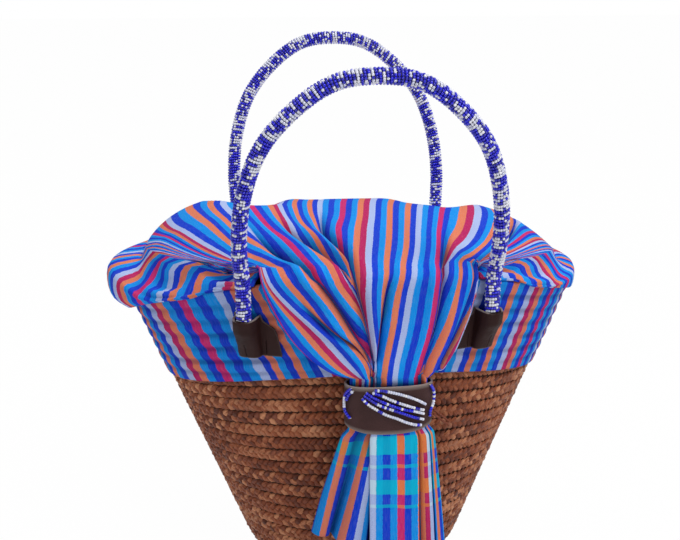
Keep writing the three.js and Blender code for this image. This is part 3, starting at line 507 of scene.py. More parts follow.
angles = np.linspace(0, TAU, 721)[:-1]
wall = Pile()
for row in range(ROWS):
    share = (row + 0.5) / ROWS
    braid(wall, *wall_frame(share, angles), row * 10 + 3, *((5, 5) if share > UNDER_COLLAR else (8, 6)))
wall.make("plait_wall", plait_mat, replaces=["basket_wall"], slot="plait")

base = Pile()
disc = circle(angles)
for ring in range(BASE_ROWS):
    radius = BASE_HOLE + ring * (R0 - CORNER - BASE_HOLE - 6.3) / (BASE_ROWS - 1)
    braid(base, disc * radius + [0, 0, WALL / 2], disc, disc * 0 - [0, 0, 1], 900 + ring * 10)
base.make("plait_base", plait_mat, replaces=["basket_base"], slot="plait")

# a dark brown sheet at the wall's middle, which the real basket lacks: painted shade seen through the gaps between
# the plaited rows
core_t = np.linspace(0, TAU, 181)[:-1]
core = [circle(core_t) * q + [0, 0, 3.9] for q in np.linspace(R0 - CORNER + 2, 1.0, 8)[::-1]]
core += [on_wall(s, core_t, -WALL / 2 + 0.4) for s in np.linspace(0.02, 0.985, 30)]
P = np.stack(core)[:, ::-1]
lay = np.concatenate([P.reshape(-1, 3)] * 2)[:, [2, 0, 1]]
make("plait_shade_core", *shell(P, 0.8, close_columns=True), {"lay": lay}, shade_core_mat, slot="plait")

# ---------------------------------------------------------------- cloth collar
DROP, DROP_LIFT, TURN_IN = 75.0, 6.0, 24.0
# lengths of cloth, mm: up to the rim, over it, and from the lower edge to where it turns in
BAND_L, LIP_L, INSIDE_L = 78.0, 12.0, 92.0
RING_N, BAND_ROWS = 961, 46


def collar_low(t):
    return 1 - (DROP - DROP_LIFT * np.sin(t) ** 2) / H


# Stripe number against the angle in degrees, at the rim and at the lower edge, where the cloth
# leans on the left and is gathered behind the cuff; the band's own seam is at the back
RIM_STRIPES = [(-270, -45.5), (-180, -6.5), (-156, 0.5), (-126.5, 9.5), (-62, 43.5), (-44.3, 51.5), (-22, 61.3),
               (0, 70.3), (90, 109)]
LOWER_STRIPES = [(-270, -45.5), (-180, -9), (-147.9, 0.5), (-118.5, 9.5), (-100, 18), (-75, 38.7), (-65, 43.5),
                 (-47.5, 51.5), (-24, 61.3), (0, 70.3), (90, 109)]
ring_t = np.radians(np.linspace(-270, 90, RING_N))
rim_s = run_along(on_wall(0.86, ring_t))
rim_across, lower_across = (
    np.interp(np.degrees(ring_t), *np.array(stripes).T) * STRIPE for stripes in (RIM_STRIPES, LOWER_STRIPES))


def rim_noise(cell, line, seed):
    """Noise along the rim that meets itself, in waves of about cell mm."""
    return value_noise(rim_s / cell, line, seed, wrap=int(rim_s[-1] / cell))


rows, lays, crossings, painted_shades = [], [], [], []
for q in np.linspace(0, 1, BAND_ROWS):
    share = lerp(collar_low(ring_t), 1.0, q)
    open_ = smooth(q, 0.02, 0.12) * (1 - smooth(q, 0.86, 0.97))
    ridge = np.cos(TAU * (share * ROWS - 0.5)) * open_
    soft, pucker = rim_noise(26.0, q * 2.6, 51), rim_noise(9.0, q * 1.2, 52)
    gather, jolt = 0.5 + 0.5 * rim_noise(34.0, q * 5.2, 54), rim_noise(21.0, q * 7.4, 55)
    sway = np.sin(TAU * (share * ROWS - 0.2)) * (0.08 + 0.3 * gather) * open_ + 0.7 * jolt * smooth(q, 0.02, 0.2)
    rows.append(on_wall(share, ring_t, 1.6 + 0.65 * ridge + 0.25 * soft + 0.2 * pucker))
    lays.append(q * BAND_L)
    crossings.append(lerp(lower_across, rim_across, q) + sway)
    # painted shade: a little over the whole band, and more in the grooves between the gathers
    painted_shades.append(0.17 + 0.7 * smooth(-ridge, -0.1, 0.9) * (0.2 + 0.8 * gather))
for phi in np.linspace(0.25, math.pi - 0.25, 7):
    rows.append(on_wall(1, ring_t, -WALL / 2 + (WALL / 2 + 1.6) * math.cos(phi), 0.2 + 1.9 * math.sin(phi)))
    lays.append(BAND_L + LIP_L * phi / math.pi)
for q in np.linspace(0, 1, 8):
    rows.append(on_wall(lerp(1.0, 1 - TURN_IN / H, q), ring_t, -WALL - 1.5 - 0.3 * rim_noise(14.0, q, 53)))
    lays.append(INSIDE_L + q * TURN_IN)
crossings += [rim_across] * (len(rows) - BAND_ROWS)
painted_shades += [np.zeros(RING_N)] * (len(rows) - BAND_ROWS)
# columns run backwards, so that the front faces out
collar = cloth_piece("collar_cloth", np.stack(rows)[:, ::-1], np.stack(crossings)[:, ::-1], np.array(lays)[:, None],
                     np.stack(painted_shades)[:, ::-1], 1.0, cloth_mat, ["cloth_collar"])

# ---------------------------------------------------------------- cloth cover
foot_angle = math.atan2(-FOOT_Y / B, FOOT_X / A)
for _ in range(30):
    foot_angle += (float(on_wall(1, foot_angle, COLLAR_OUT + TUBE_R + 0.6)[0]) - FOOT_X) / A
EDGE = foot_angle + math.radians(2)
FRONT_SPREAD = SPREAD - 2 * TUBE_R - 8.8
COVER_TOP = COLLAR_OUT + 4
# how far inside the cuff the cover's end lies, across and in depth, and the share of its width that it fills
END_IN_A, END_IN_B, END_FILL = 2.4, 4.6, 0.96
CUFF_Y = -(float(front_depth(0.0, CUFF_TOP)) + COLLAR_OUT + SEAM + CUFF_B)
MOUTH_ROWS, DRAPE_ROWS, FINE_N = 30, 36, 601


def lip_weight(t):
    """1 along the rolled lip, 0 beside the handles' feet."""
    feet = (-foot_angle, foot_angle, math.pi - foot_angle, math.pi + foot_angle)
    return smooth(np.min([np.abs(t - foot) for foot in feet], axis=0), math.radians(7), math.radians(17))


def shoulder_lift(x, y):
    across = np.abs(x) / A
    ridge = RISE * (across ** 2 - across ** 7)
    puff = np.where(x < 0, 13.0, 2.0) * smooth(across, 0.1, 0.6)
    return (ridge + puff) * smooth(y / B, -np.sqrt(np.maximum(0, 1 - across ** 2)) - 0.37, -0.19)


def cover_surface(a):
    """The smooth cover, rows from the lip to the cuff; a runs from -1 at the left edge to 1 at the right."""
    t = lerp(-EDGE, math.pi + EDGE, (1 - a) / 2)
    w, side = lip_weight(t), np.cos(t)
    left = side < 0
    swell = np.abs(side) ** np.where(np.sin(t) < 0, 14, np.where(left, 3.6, 6))
    reach = lerp(5, np.where(left, 20, 6), swell)
    lift = np.where(left, 22, 12) * swell
    drop = lerp(1.0, 5.5, swell)
    tucked = lerp(2.0, np.where(left, 16.0, 8.0), swell)
    flat_up = COLLAR_OUT + 3 * SEAM
    keys = [on_wall(1, t, lerp(COLLAR_OUT, COLLAR_OUT + 1.0, w), lerp(flat_up, -tucked, w))]
    for k, (o, roll) in enumerate([(0.8, -drop), (1, -0.2 * drop + 0.5 * lift), (0.8, 2.25 + lift)]):
        keys.append(on_wall(1, t, lerp(COLLAR_OUT * (1 - k / 3), o * reach, w), lerp(flat_up, roll, w)))
    keys.append(on_wall(1, t, -WALL * 0.7, COVER_TOP + lift * w))
    start = on_wall(1, t, -12, COVER_TOP)
    start[:, 2] += shoulder_lift(start[:, 0], start[:, 1]) * w
    keys.append(start)
    end = on_wall(1, -np.arccos(FRONT_SPREAD / 2 * a / A), -WALL / 2)
    rim_z = lambda x: H + RISE * (1 - (x / A) ** 2)
    mouth = []
    for k in range(1, MOUTH_ROWS + 1):
        s = k / MOUTH_ROWS
        x, y = lerp(start[:, 0], end[:, 0], s), lerp(start[:, 1], end[:, 1], s)
        inner = np.maximum(0, 1 - (x / A) ** 2 - (y / B) ** 2)
        shoulder = shoulder_lift(x, y) * lerp(w, 1, min(1, 3 * s))
        mouth.append(np.stack([x, y, rim_z(x) + COVER_TOP + 14 * inner + shoulder + 3.5 * s], -1))
    top = mouth[-1] - [0, WALL / 2 + COLLAR_OUT + 3, 4]
    cuff_x = CUFF_X + (CUFF_A - END_IN_A) * a * END_FILL
    held = CUFF_Y - (CUFF_B - END_IN_B) * cuff_half(a * END_FILL) * 0.75
    neck = CUFF_TOP + 5
    bends = ((top[:, 0], lerp(top[:, 0], cuff_x, 0.35), cuff_x), (top[:, 2], lerp(neck, top[:, 2], 0.1), neck))
    drape = [top]
    for k in range(1, DRAPE_ROWS + 1):
        s = k / DRAPE_ROWS
        x, z = ((1 - s) ** 2 * p + 2 * s * (1 - s) * q + s * s * r for p, q, r in bends)
        lying = -(front_depth(x, np.minimum(z, rim_z(x))) + COLLAR_OUT + 5.5)
        drape.append(np.stack([x, lerp(lying, held, smooth(s, 0, 1)), z], -1))
    drape.append(np.stack([cuff_x, held, np.full_like(a, CUFF_TOP - 3)], -1))
    # the lip's key rows become a rounded roll
    lip, onward = [], keys + mouth
    for k in range(len(keys) - 1):
        lip += [spline(onward[max(k - 1, 0)], *onward[k:k + 3], s) for s in (0, 0.34, 0.67)]
    lip.append(keys[-1])
    levels = list(np.linspace(-0.3, 0, len(lip))) + [k / MOUTH_ROWS for k in range(1, MOUTH_ROWS + 1)]
    levels += list(1.02 + 0.93 * np.arange(0, DRAPE_ROWS + 1) / DRAPE_ROWS) + [2.0]
    return np.stack(lip + mouth + drape), np.array(levels)


# Where the cover folds. Level 0 is the back rim, 1 the front rim, 2 the cuff. Each fold line has
# its place across (-1 left, 1 right), and the numbers of the stripes that meet there from the
# left and from the right: what lies between them is hidden in the fold.
LEVELS = [0, 0.12, 0.25, 0.4, 0.55, 0.7, 0.85, 0.93, 1, 1.02, 1.08, 1.16, 1.25, 1.35, 1.45, 1.55, 1.65, 1.75,
          1.85, 1.95, 2]
FOLD_LINES = [
    ([-0.4, -0.471, -0.565, -0.659, -0.729, -0.864, -0.92, -0.95, -0.976, -0.983, -0.921, -0.869, -0.747,
      -0.633, -0.587, -0.546, -0.525, -0.52, -0.553, -0.665, -0.665],
     [-34] * 21,
     [-34] * 21),
    ([-0.333, -0.381, -0.427, -0.501, -0.584, -0.661, -0.717, -0.799, -0.856, -0.79, -0.736, -0.685, -0.631,
      -0.536, -0.324, -0.245, -0.214, -0.248, -0.334, -0.472, -0.472],
     [-31] * 11 + [-31.5, -32.6, -32.9, -30.9] + [-30.7] * 6,
     [-31] * 11 + [-31.5, -31.4, -30.3, -28.3] + [-28.1] * 6),
    ([-0.201, -0.243, -0.308, -0.35, -0.404, -0.463, -0.527, -0.555, -0.594, -0.537, -0.461, -0.384, -0.331,
      -0.295, -0.243, -0.182, -0.187, -0.229, -0.313, -0.447, -0.447],
     [-25.1, -25, -25, -25, -25.3, -26.4, -27.4, -27.8, -28, -27.9, -27.7, -27.7, -27.8, -27.9, -28] + [-28.1] *
      6,
     [-25.1, -25, -25, -25, -25.2, -25, -24.4, -23.6, -22.9, -22.3, -21.6, -21.1, -21, -21.2, -21.7, -22.3,
      -22.4] + [-22.5] * 4),
    ([-0.14, -0.166, -0.196, -0.229, -0.262, -0.286, -0.26, -0.243, -0.258, -0.23, -0.208, -0.175, -0.163,
      -0.159, -0.157, -0.156, -0.166, -0.22, -0.304, -0.432, -0.432],
     [-19.1] * 4 + [-19, -18.9, -18.3, -17.4, -16.9, -16.8, -17.5, -18.5, -19.6, -20.8, -21.8, -22.2] + [-22.4]
      * 5,
     [-19.1] * 4 + [-18.7, -17.2, -13.9, -12.1, -11.2, -11.9, -16.7, -18.5, -19.6, -20.8, -21.8, -22.2] +
      [-22.4] * 5),
    ([-0.049, -0.059, -0.074, -0.096, -0.121, -0.154, -0.152, -0.164, -0.2, -0.184, -0.17, -0.145, -0.127,
      -0.118, -0.12, -0.129, -0.15, -0.205, -0.289, -0.415, -0.415],
     [-9.1, -9.1, -9.1, -9.2, -9.4, -10, -10.5, -10.6, -10.7, -11, -16.5, -18.5, -19.6, -20.8, -21.8, -22.2] +
      [-22.4] * 5,
     [-9] * 4 + [-8.4, -7, -4.6, -3.3, -2.6, -2.3, -1.8, -1.3, -0.9, -0.6, -0.5] + [-0.4] * 6),
    ([0.096, 0.096, 0.096, 0.099, 0.105, 0.114, 0.132, 0.144, 0.155, 0.135, 0.115, 0.095, 0.067, 0.032, -0.007,
      -0.056, -0.118, -0.182, -0.263, -0.385, -0.385],
     [3.5] * 6 + [3.6] * 4 + [3.5, 3.4, 2.9, 2.2, 1.3, 0.8, 0.6] + [0.5] * 4,
     [3.5] * 6 + [3.6, 3.7, 4, 4.2, 4.4, 4.6, 4.5, 4.5] + [4.6] * 7),
    ([0.211, 0.222, 0.237, 0.259, 0.293, 0.348, 0.452, 0.547, 0.642, 0.629, 0.635, 0.653, 0.653, 0.651, 0.645,
      0.636, 0.628, 0.648, 0.694, 0.785, 0.785],
     [13.2] * 5 + [13.1] + [13] * 6 + [12.9] * 4 + [12.8] * 5,
     [13.3, 13.2, 13.2, 13.3, 13.3, 14, 15.4, 15.9, 16.3, 17, 17.5, 18, 18.3, 18.7, 19.1, 19.3, 19.5, 19.5,
      19.6, 19.6, 19.6]),
    ([0.361, 0.41, 0.47, 0.56, 0.66, 0.77, 0.87, 0.92, 0.968, 0.97, 0.962, 0.956, 0.939, 0.924, 0.909, 0.89,
      0.889, 0.914, 0.97, 0.97, 0.97],
     [24, 23.8, 23.8, 23.8, 23.7, 23.7] + [23.6] * 4 + [23.4, 23, 22.7, 22.4, 22.1, 21.8, 21.7] + [21.5] * 4,
     [24, 24.2, 24.8, 25.6, 26.6, 27.6, 28.8, 29.4, 29.7, 29.8, 30.7, 31, 31.3, 31.6, 31.8] + [32] * 6),
    ([0.546, 0.6, 0.66, 0.74, 0.82, 0.9, 0.95, 0.969, 0.985, 0.986] + [0.99] * 11,
     [34] * 21,
     [34] * 21),
]
LEFT_STRIPE = [(0, -72), (0.13, -62), (0.23, -54.3), (0.4, -46.1), (0.5, -42.6), (0.7, -39), (1, -38.8), (2, -38.6)]
RIGHT_STRIPE = [(0, 63), (0.13, 55.8), (0.23, 50.4), (0.4, 43.5), (0.5, 40), (0.7, 36), (1, 34.7), (2, 34.5)]

fine = np.linspace(-1, 1, FINE_N)
S, level = cover_surface(fine)
SN = grid_normals(S)
run = np.stack([run_along(row) for row in S])
threads = np.arange(LEFT_STRIPE[0][1], RIGHT_STRIPE[0][1] + 0.01, 0.25)
places, heights = np.zeros((2, len(level), len(threads)))
for r, v in enumerate(level):
    v = max(v, 0)
    across, left, right = np.array([[np.interp(v, LEVELS, q) for q in fold] for fold in FOLD_LINES]).T
    first, last = (np.interp(v, *np.array(stripes).T) for stripes in (LEFT_STRIPE, RIGHT_STRIPE))
    across = np.maximum.accumulate(across + 0.004 * np.arange(len(across)))
    half = 1.6 / run[r, -1]
    knots_u, knots_a = [first], [-1.0]
    for k in range(len(across)):
        open_ = min(1, (right[k] - left[k]) / 0.5)
        knots_u += [left[k], right[k]]
        knots_a += [across[k] - half * open_, across[k] + half * open_]
    knots_u = np.maximum.accumulate(np.array(knots_u + [last])) + 1e-6 * np.arange(len(knots_u) + 1)
    knots_a = np.maximum.accumulate(np.array(knots_a + [1.0]))
    a = np.interp(threads, knots_u, knots_a)
    along_row, fold_run, knots_run = (np.interp(q, fine, run[r]) for q in (a, across, knots_a))
    deepest = np.interp(v, [0, 0.12, 0.35, 0.8, 1.0, 1.7, 1.9], [0.5, 2.5, 8.0, 8.0, 3.4, 3.4, 5.0])
    tallest = np.interp(v, [0, 0.2, 0.8, 1.0, 1.7, 1.9], [0, 1.5, 2.5, 4.0, 4.0, 1.5])
    h = np.zeros(len(threads))
    for k in range(len(across)):
        hidden = (right[k] - left[k]) * STRIPE
        if hidden < 0.5:
            continue
        depth, ridge = min(deepest, 0.5 * hidden), min(tallest, 0.35 * hidden)
        x = along_row - fold_run[k]
        between = (threads > left[k]) & (threads < right[k])
        for side, knot in ((-1, 2 * k), (1, min(2 * k + 3, len(knots_a) - 1))):
            space = abs(knots_run[knot] - fold_run[k])
            q = np.clip(x * side / max(1.5, min(4 + 0.5 * depth, space * 0.45)), 0, 3)
            on = (x * side >= 0) & ~between & (q < 3)
            swell = ridge * np.sin(np.clip(q[on] / 3, 0, 1) * math.pi) ** 1.5
            h[on] += -depth * np.clip(1 - q[on], 0, 1) ** 1.6 + swell
        q = np.clip((threads - left[k]) / max(right[k] - left[k], 1e-6), 0, 1)
        h[between] = -depth - min(1.2, 0.2 * hidden) * np.sin(math.pi * q[between])
    tuck = smooth(v, 0.93, 1.05)
    if tuck > 0:
        for edge, sign in ((first, -1), (last, 1)):
            q = (edge - threads) * -sign * STRIPE
            out = q > 0
            a[out] = lerp(a[out], sign * (1 - np.minimum(q[out], 22) / run[r, -1] * 2), tuck)
            h[out] = lerp(h[out], -3.2 * np.clip(q[out] / 3, 0, 1), tuck)
    if level[r] < 0.08:
        crimp = smooth(-a, 0.66, 0.74) * (1 - smooth(-a, 0.94, 0.99))
        crimp += 0.6 * smooth(a, 0.72, 0.8) * (1 - smooth(a, 0.94, 0.99))
        waves = np.sin(TAU * (level[r] + 0.03 * np.sin(threads * 0.5)) / 0.1)
        h += 4.2 * crimp * waves * smooth(level[r], -0.26, -0.16) * (1 - smooth(level[r], 0.0, 0.08))
    soft = 1.1 * value_noise(threads / 5.5, v * 5, 61) + 0.45 * value_noise(threads / 2.1, v * 8, 62)
    places[r], heights[r] = a, h + soft * smooth(v, 0.02, 0.3) * (1 - 0.6 * smooth(v, 0.9, 1.3))
for field in (places, heights):
    for _ in range(2):
        field[1:-1] = 0.5 * field[1:-1] + 0.25 * (field[:-2] + field[2:])
G = np.stack([sample(places[r], fine, S[r]) + sample(places[r], fine, SN[r]) * heights[r][:, None]
              for r in range(len(level))])
over_rim = np.where((level > 0.72) & (level < 1.4))[0]
for _ in range(14):
    G[over_rim, :, 0] = 0.5 * G[over_rim, :, 0] + 0.25 * (G[over_rim - 1, :, 0] + G[over_rim + 1, :, 0])
# np.clip(-heights / 7.5, 0, 1) is painted shade, darker the deeper the cloth lies in a fold
cover = cloth_piece("cover_cloth", G, (0.5 - threads) * STRIPE, run_along(S[:, FINE_N // 2])[:, None],
                    np.clip(-heights / 7.5, 0, 1), 0.9, cloth_mat, ["cloth_cover"])

# ---------------------------------------------------------------- tail of the cover
# Once round the tail from its left edge over the front: across and out at the neck and at the
# hem, in mm from the cuff's middle, the stripe's number, and how much painted shade the fold there gets
TAIL_FOLDS = np.array([
    [-37, 0, -65, 0, 1.2, 0.3], [-36.3, 6, -59, 13, 2.6, 0.1], [-29, 8, -52, 12, 4.0, 0.6],
    [-26, 6, -49, 4, 4.6, 1], [-20, 7, -46, 12, 5.2, 0.6], [-11, 5.5, -35, 19, 7.2, 0.1],
    [-6, 4, -22.5, 14, 9.3, 0.55], [-5, 2, -18, 4, 10.5, 1], [-6, -3, -12, -4, 17, 1],
    [-16.2, 9.5, -16.2, 12, 24.4, 0.5], [-13.6, 11.4, -13.6, 14.5, 24.9, 0], [4, 12, 5, 16, 28.1, 0],
    [21, 11.4, 23.5, 15.5, 31.3, 0], [24, 9.5, 27, 13, 31.8, 0.2], [23, 2, 25, 2, 36, 1],
    [24.4, 8.5, 29, 11, 48.6, 0.3], [28.5, 10, 35, 16, 49.8, 0], [32.7, 8, 41, 12, 51.4, 0.1],
    [33.2, 4, 42.5, 4, 52.4, 0.9], [34.3, 6, 44, 9, 53, 0.1], [38.5, 0, 52, 2, 56.5, 0],
    [32, -8, 45, -14, 60, 0], [16, -11, 22, -12, 66, 0.4], [0, -11.4, 0, -17, 72, 0],
    [-16, -11, -26, -12, 78, 0.4], [-31, -8, -52, -14, 84, 0]])
TAIL_NECK, TAIL_HEM, TAIL_N = CUFF_LOW - 6.0, 46.0, 420
# the tail's last stripe meets its first after five repeats, and its left part has its weft further down
ALL_STRIPES, LEFT_PART, LEFT_WEFT = 85, 17, 34.0


def closed_curve(points, n):
    """Points evenly spread along a closed Catmull-Rom curve."""
    q = np.linspace(0, len(points), n * 4 + 1)[:-1]
    k, s = np.floor(q).astype(int), (q % 1)[:, None]
    curve = looped(spline(*(points[(k + i) % len(points)] for i in (-1, 0, 1, 2)), s))
    s = run_along(curve)
    return sample(np.arange(n) / n * s[-1], s, curve)


def fallen(z):
    return np.clip((TAIL_NECK - z) / (TAIL_NECK - TAIL_HEM), 0, 1)


fold_at = np.concatenate([TAIL_FOLDS, TAIL_FOLDS[:1] + [0, 0, 0, 0, ALL_STRIPES, 0]])
marks = np.arange(len(fold_at))
mark_turn = TAU * marks[:-1] / marks[-1]
curve = closed_curve(np.column_stack([TAIL_FOLDS[:, [2, 3, 0, 1]], np.sin(mark_turn), np.cos(mark_turn)]), TAIL_N)
place = np.arctan2(curve[:, 4], curve[:, 5]) / TAU % 1 * marks[-1]
place[0] = 0
stripe_at, painted_fold_shade = (np.interp(place, marks, fold_at[:, k]) for k in (4, 5))
hem_s = run_along(looped(curve[:, :2]))
hem_s, TAIL_ROUND = hem_s[:-1], hem_s[-1]
plug_a, plug_b = CUFF_A - 2.6, CUFF_B - 2.6
held_x = np.clip(curve[:, 2] * 0.87, -plug_a * 0.97, plug_a * 0.97)
held_room = plug_b * cuff_half(held_x / plug_a)
held_y = np.clip(curve[:, 3], -held_room, held_room)
levels_z = np.concatenate([[CUFF_TOP - 6, CUFF_TOP - 20, CUFF_LOW + 2, CUFF_LOW - 5],
                           np.linspace(TAIL_NECK - 2, TAIL_HEM, 46)])
T = []
for z in levels_z:
    fall = fallen(z)
    free = smooth(z, CUFF_LOW - 1, CUFF_LOW - 12)
    opened = fall ** 0.88
    x = CUFF_X + lerp(held_x, lerp(curve[:, 2], curve[:, 0], opened), free)
    y = CUFF_Y - lerp(held_y, lerp(curve[:, 3], curve[:, 1], opened), free)
    turns = hem_s / TAIL_ROUND * TAU * 26 + 2.0 * value_noise(hem_s / 30, z / 40, 71)
    crease = 0.5 * np.sin(turns) * (1 - smooth(fall, 0.1, 0.6)) * free
    soft = value_noise(hem_s / 22, z / 30, 72) * smooth(fall, 0.1, 0.4)
    T.append(np.stack([x, y - crease - soft, np.full(TAIL_N, z)], -1))
T = np.stack(T)
lift_left = 26.0 * (1 - smooth(T[..., 0], -40, 10)) + 3 * np.sin(T[..., 0] / 9)
T[..., 2] += np.maximum(0, lift_left) * fallen(T[..., 2])
tail_along = (TAIL_NECK - levels_z)[:, None] + LEFT_WEFT * (stripe_at < LEFT_PART)
tail = cloth_piece("tail_cloth", T, (0.5 - stripe_at) * STRIPE, tail_along, painted_fold_shade, 0.9, tail_mat,
                   ["cloth_tail"], body="tail", close_columns=True)

# ---------------------------------------------------------------- leather cuff
CUFF_H, CUFF_T = CUFF_TOP - CUFF_LOW, 2.0


def on_cuff(turn_, z, out=0.0):
    """A point of the cuff's outer face; turn_ is 0 in front and a quarter turn at the right end."""
    sine, cosine = (np.sign(v) * np.abs(v) ** (2 / CUFF_POWER) for v in (np.sin(turn_), np.cos(turn_)))
    return np.stack(np.broadcast_arrays(
        CUFF_X + (CUFF_A + out) * sine, CUFF_Y - (CUFF_B + out) * cosine, z), -1)


cuff_t = np.linspace(0, TAU, 241)[:-1]
droop = 6.0 * np.maximum(0, np.cos(cuff_t)) ** 2
# how high and how far out each row is, down the front with its rolled edges and up the inside
CUFF_ROWS = [(1.0, -1.7), (1.0, -0.5), (0.985, -0.1), (0.9, 0.0), (0.7, -0.3), (0.5, -0.45), (0.3, -0.3),
             (0.1, 0.0), (0.015, -0.1), (0.0, -0.5), (0.0, -1.7)]
CUFF_ROWS += [(q, -CUFF_T) for q in (0.02, 0.25, 0.5, 0.75, 0.98)]
P = np.stack([on_cuff(cuff_t, lerp(CUFF_LOW - droop, CUFF_TOP, q), o) for q, o in CUFF_ROWS])
edge = np.zeros(P.shape[:2])
edge[[0, 1, 9, 10]] = 1.0
edge[[2, 8]] = 0.7
make("cuff_leather", P.reshape(-1, 3), grid_quads(*P.shape[:2], True, True),
     {"edge": edge.ravel(), "place": P.reshape(-1, 3)}, cuff_mat, replaces=["cuff_band"], slot="leather")

# ---------------------------------------------------------------- seed beads
BEAD_RINGS = [(-0.49, 0.52), (-0.32, 0.93), (0.32, 0.93), (0.49, 0.52)]
BEAD_SIDES = 6


def add_beads(pile, centres, axes, ups, length, radius, tone):
    """Barrel beads: axes are the way through the hole."""
    n, per = len(centres), len(BEAD_RINGS) * BEAD_SIDES
    axes = unit(axes)
    ups = unit(ups - axes * (ups * axes).sum(-1, keepdims=True))
    phi = ((np.arange(BEAD_SIDES) + 0.5) / BEAD_SIDES * TAU)[:, None]
    around = np.cross(axes, ups)[:, None] * np.cos(phi) + ups[:, None] * np.sin(phi)
    length = np.broadcast_to(length, (n,))[:, None]
    verts = np.stack([(centres + axes * (x * length))[:, None] + (q * radius)[:, None, None] * around
                      for x, q in BEAD_RINGS], 1)
    start = (np.arange(n) * per)[:, None]
    quads = (grid_quads(len(BEAD_RINGS), BEAD_SIDES, False, True) + start[:, None]).reshape(-1, 4)
    caps = [np.arange(BEAD_SIDES)[::-1] + start, np.arange(per - BEAD_SIDES, per) + start]
    pile.add(verts, quads, caps, tone=np.repeat(tone, per),
             place=(verts + rng.uniform(-40, 40, (n, 1, 1, 3))).reshape(-1, 3))


def bead_tones(n, seed, per_row=16, common=0.4):
    """Blue and white beads in short runs, with bands where one of them is more common."""
    r = np.random.default_rng(seed)
    drift = common + 0.17 * value_noise(np.arange(n) / (per_row * 5.5), 0, seed + 1)
    white = np.zeros(n, bool)
    state = False
    for k in range(n):
        if r.random() < 0.62:
            state = r.random() < drift[k]
        white[k] = state
    return np.where(white, r.uniform(0.62, 1.0, n), r.uniform(0.05, 0.45, n))


def catmull(points, n):
    """Points along a centripetal Catmull-Rom curve through points."""
    p = np.asarray(points, float)
    p = np.concatenate([[2 * p[0] - p[1]], p, [2 * p[-1] - p[-2]]])
    out = []
    for k in range(1, len(p) - 2):
        p0, p1, p2, p3 = p[k - 1:k + 3]
        d0, d1, d2 = (np.linalg.norm(q) ** 0.5 for q in (p1 - p0, p2 - p1, p3 - p2))
        t1 = ((p1 - p0) / d0 - (p2 - p0) / (d0 + d1) + (p2 - p1) / d1) * d1
        t2 = ((p2 - p1) / d1 - (p3 - p1) / (d1 + d2) + (p3 - p2) / d2) * d1
        s = np.linspace(0, 1, n)[:, None]
        s = s if k == len(p) - 3 else s[:-1]
        ends = p1 * (2 * s ** 3 - 3 * s ** 2 + 1) + p2 * (3 * s ** 2 - 2 * s ** 3)
        out.append(ends + t1 * (s ** 3 - 2 * s ** 2 + s) + t2 * (s ** 3 - s ** 2))
    return np.concatenate(out)


def even(path, step):
    """A path with points about a step apart, and their distances along it."""
    s = run_along(path)
    at = np.linspace(0, s[-1], max(2, int(round(s[-1] / step)) + 1))
    return sample(at, s, path), at


ARCH = [(1, 0), (1.02, 0.2), (0.98, 0.44), (0.84, 0.68), (0.57, 0.87), (0.3, 0.975), (0, 1)]
half_arch = [(x * FOOT_X, FOOT_Y - h * ARCH_H * math.sin(LEAN), PIVOT_Z + h * ARCH_H * math.cos(LEAN))
             for x, h in ARCH]
arch = catmull(half_arch + [(-x, y, z) for x, y, z in half_arch[-2::-1]], 40)
BEAD_PITCH, BEADS_ROUND, BEND = 2.65, 16, 13
PLY_R, PLY_SIDES = 2.3, 8


def relaxed(line, times):
    """A line smoothed between its fixed ends."""
    for _ in range(times):
        line[1:-1] = line[1:-1] * 0.5 + (line[:-2] + line[2:]) * 0.25
    return line


def handle_path(low):
    """From low in one tab over the arch to low in the other."""
    leg = np.array([[FOOT_X, FOOT_Y, z] for z in np.linspace(low, PIVOT_Z, 12)[:-1]])
    return relaxed(even(np.concatenate([leg, arch, (leg * [-1, 1, 1])[::-1]]), 2.0)[0], 6)


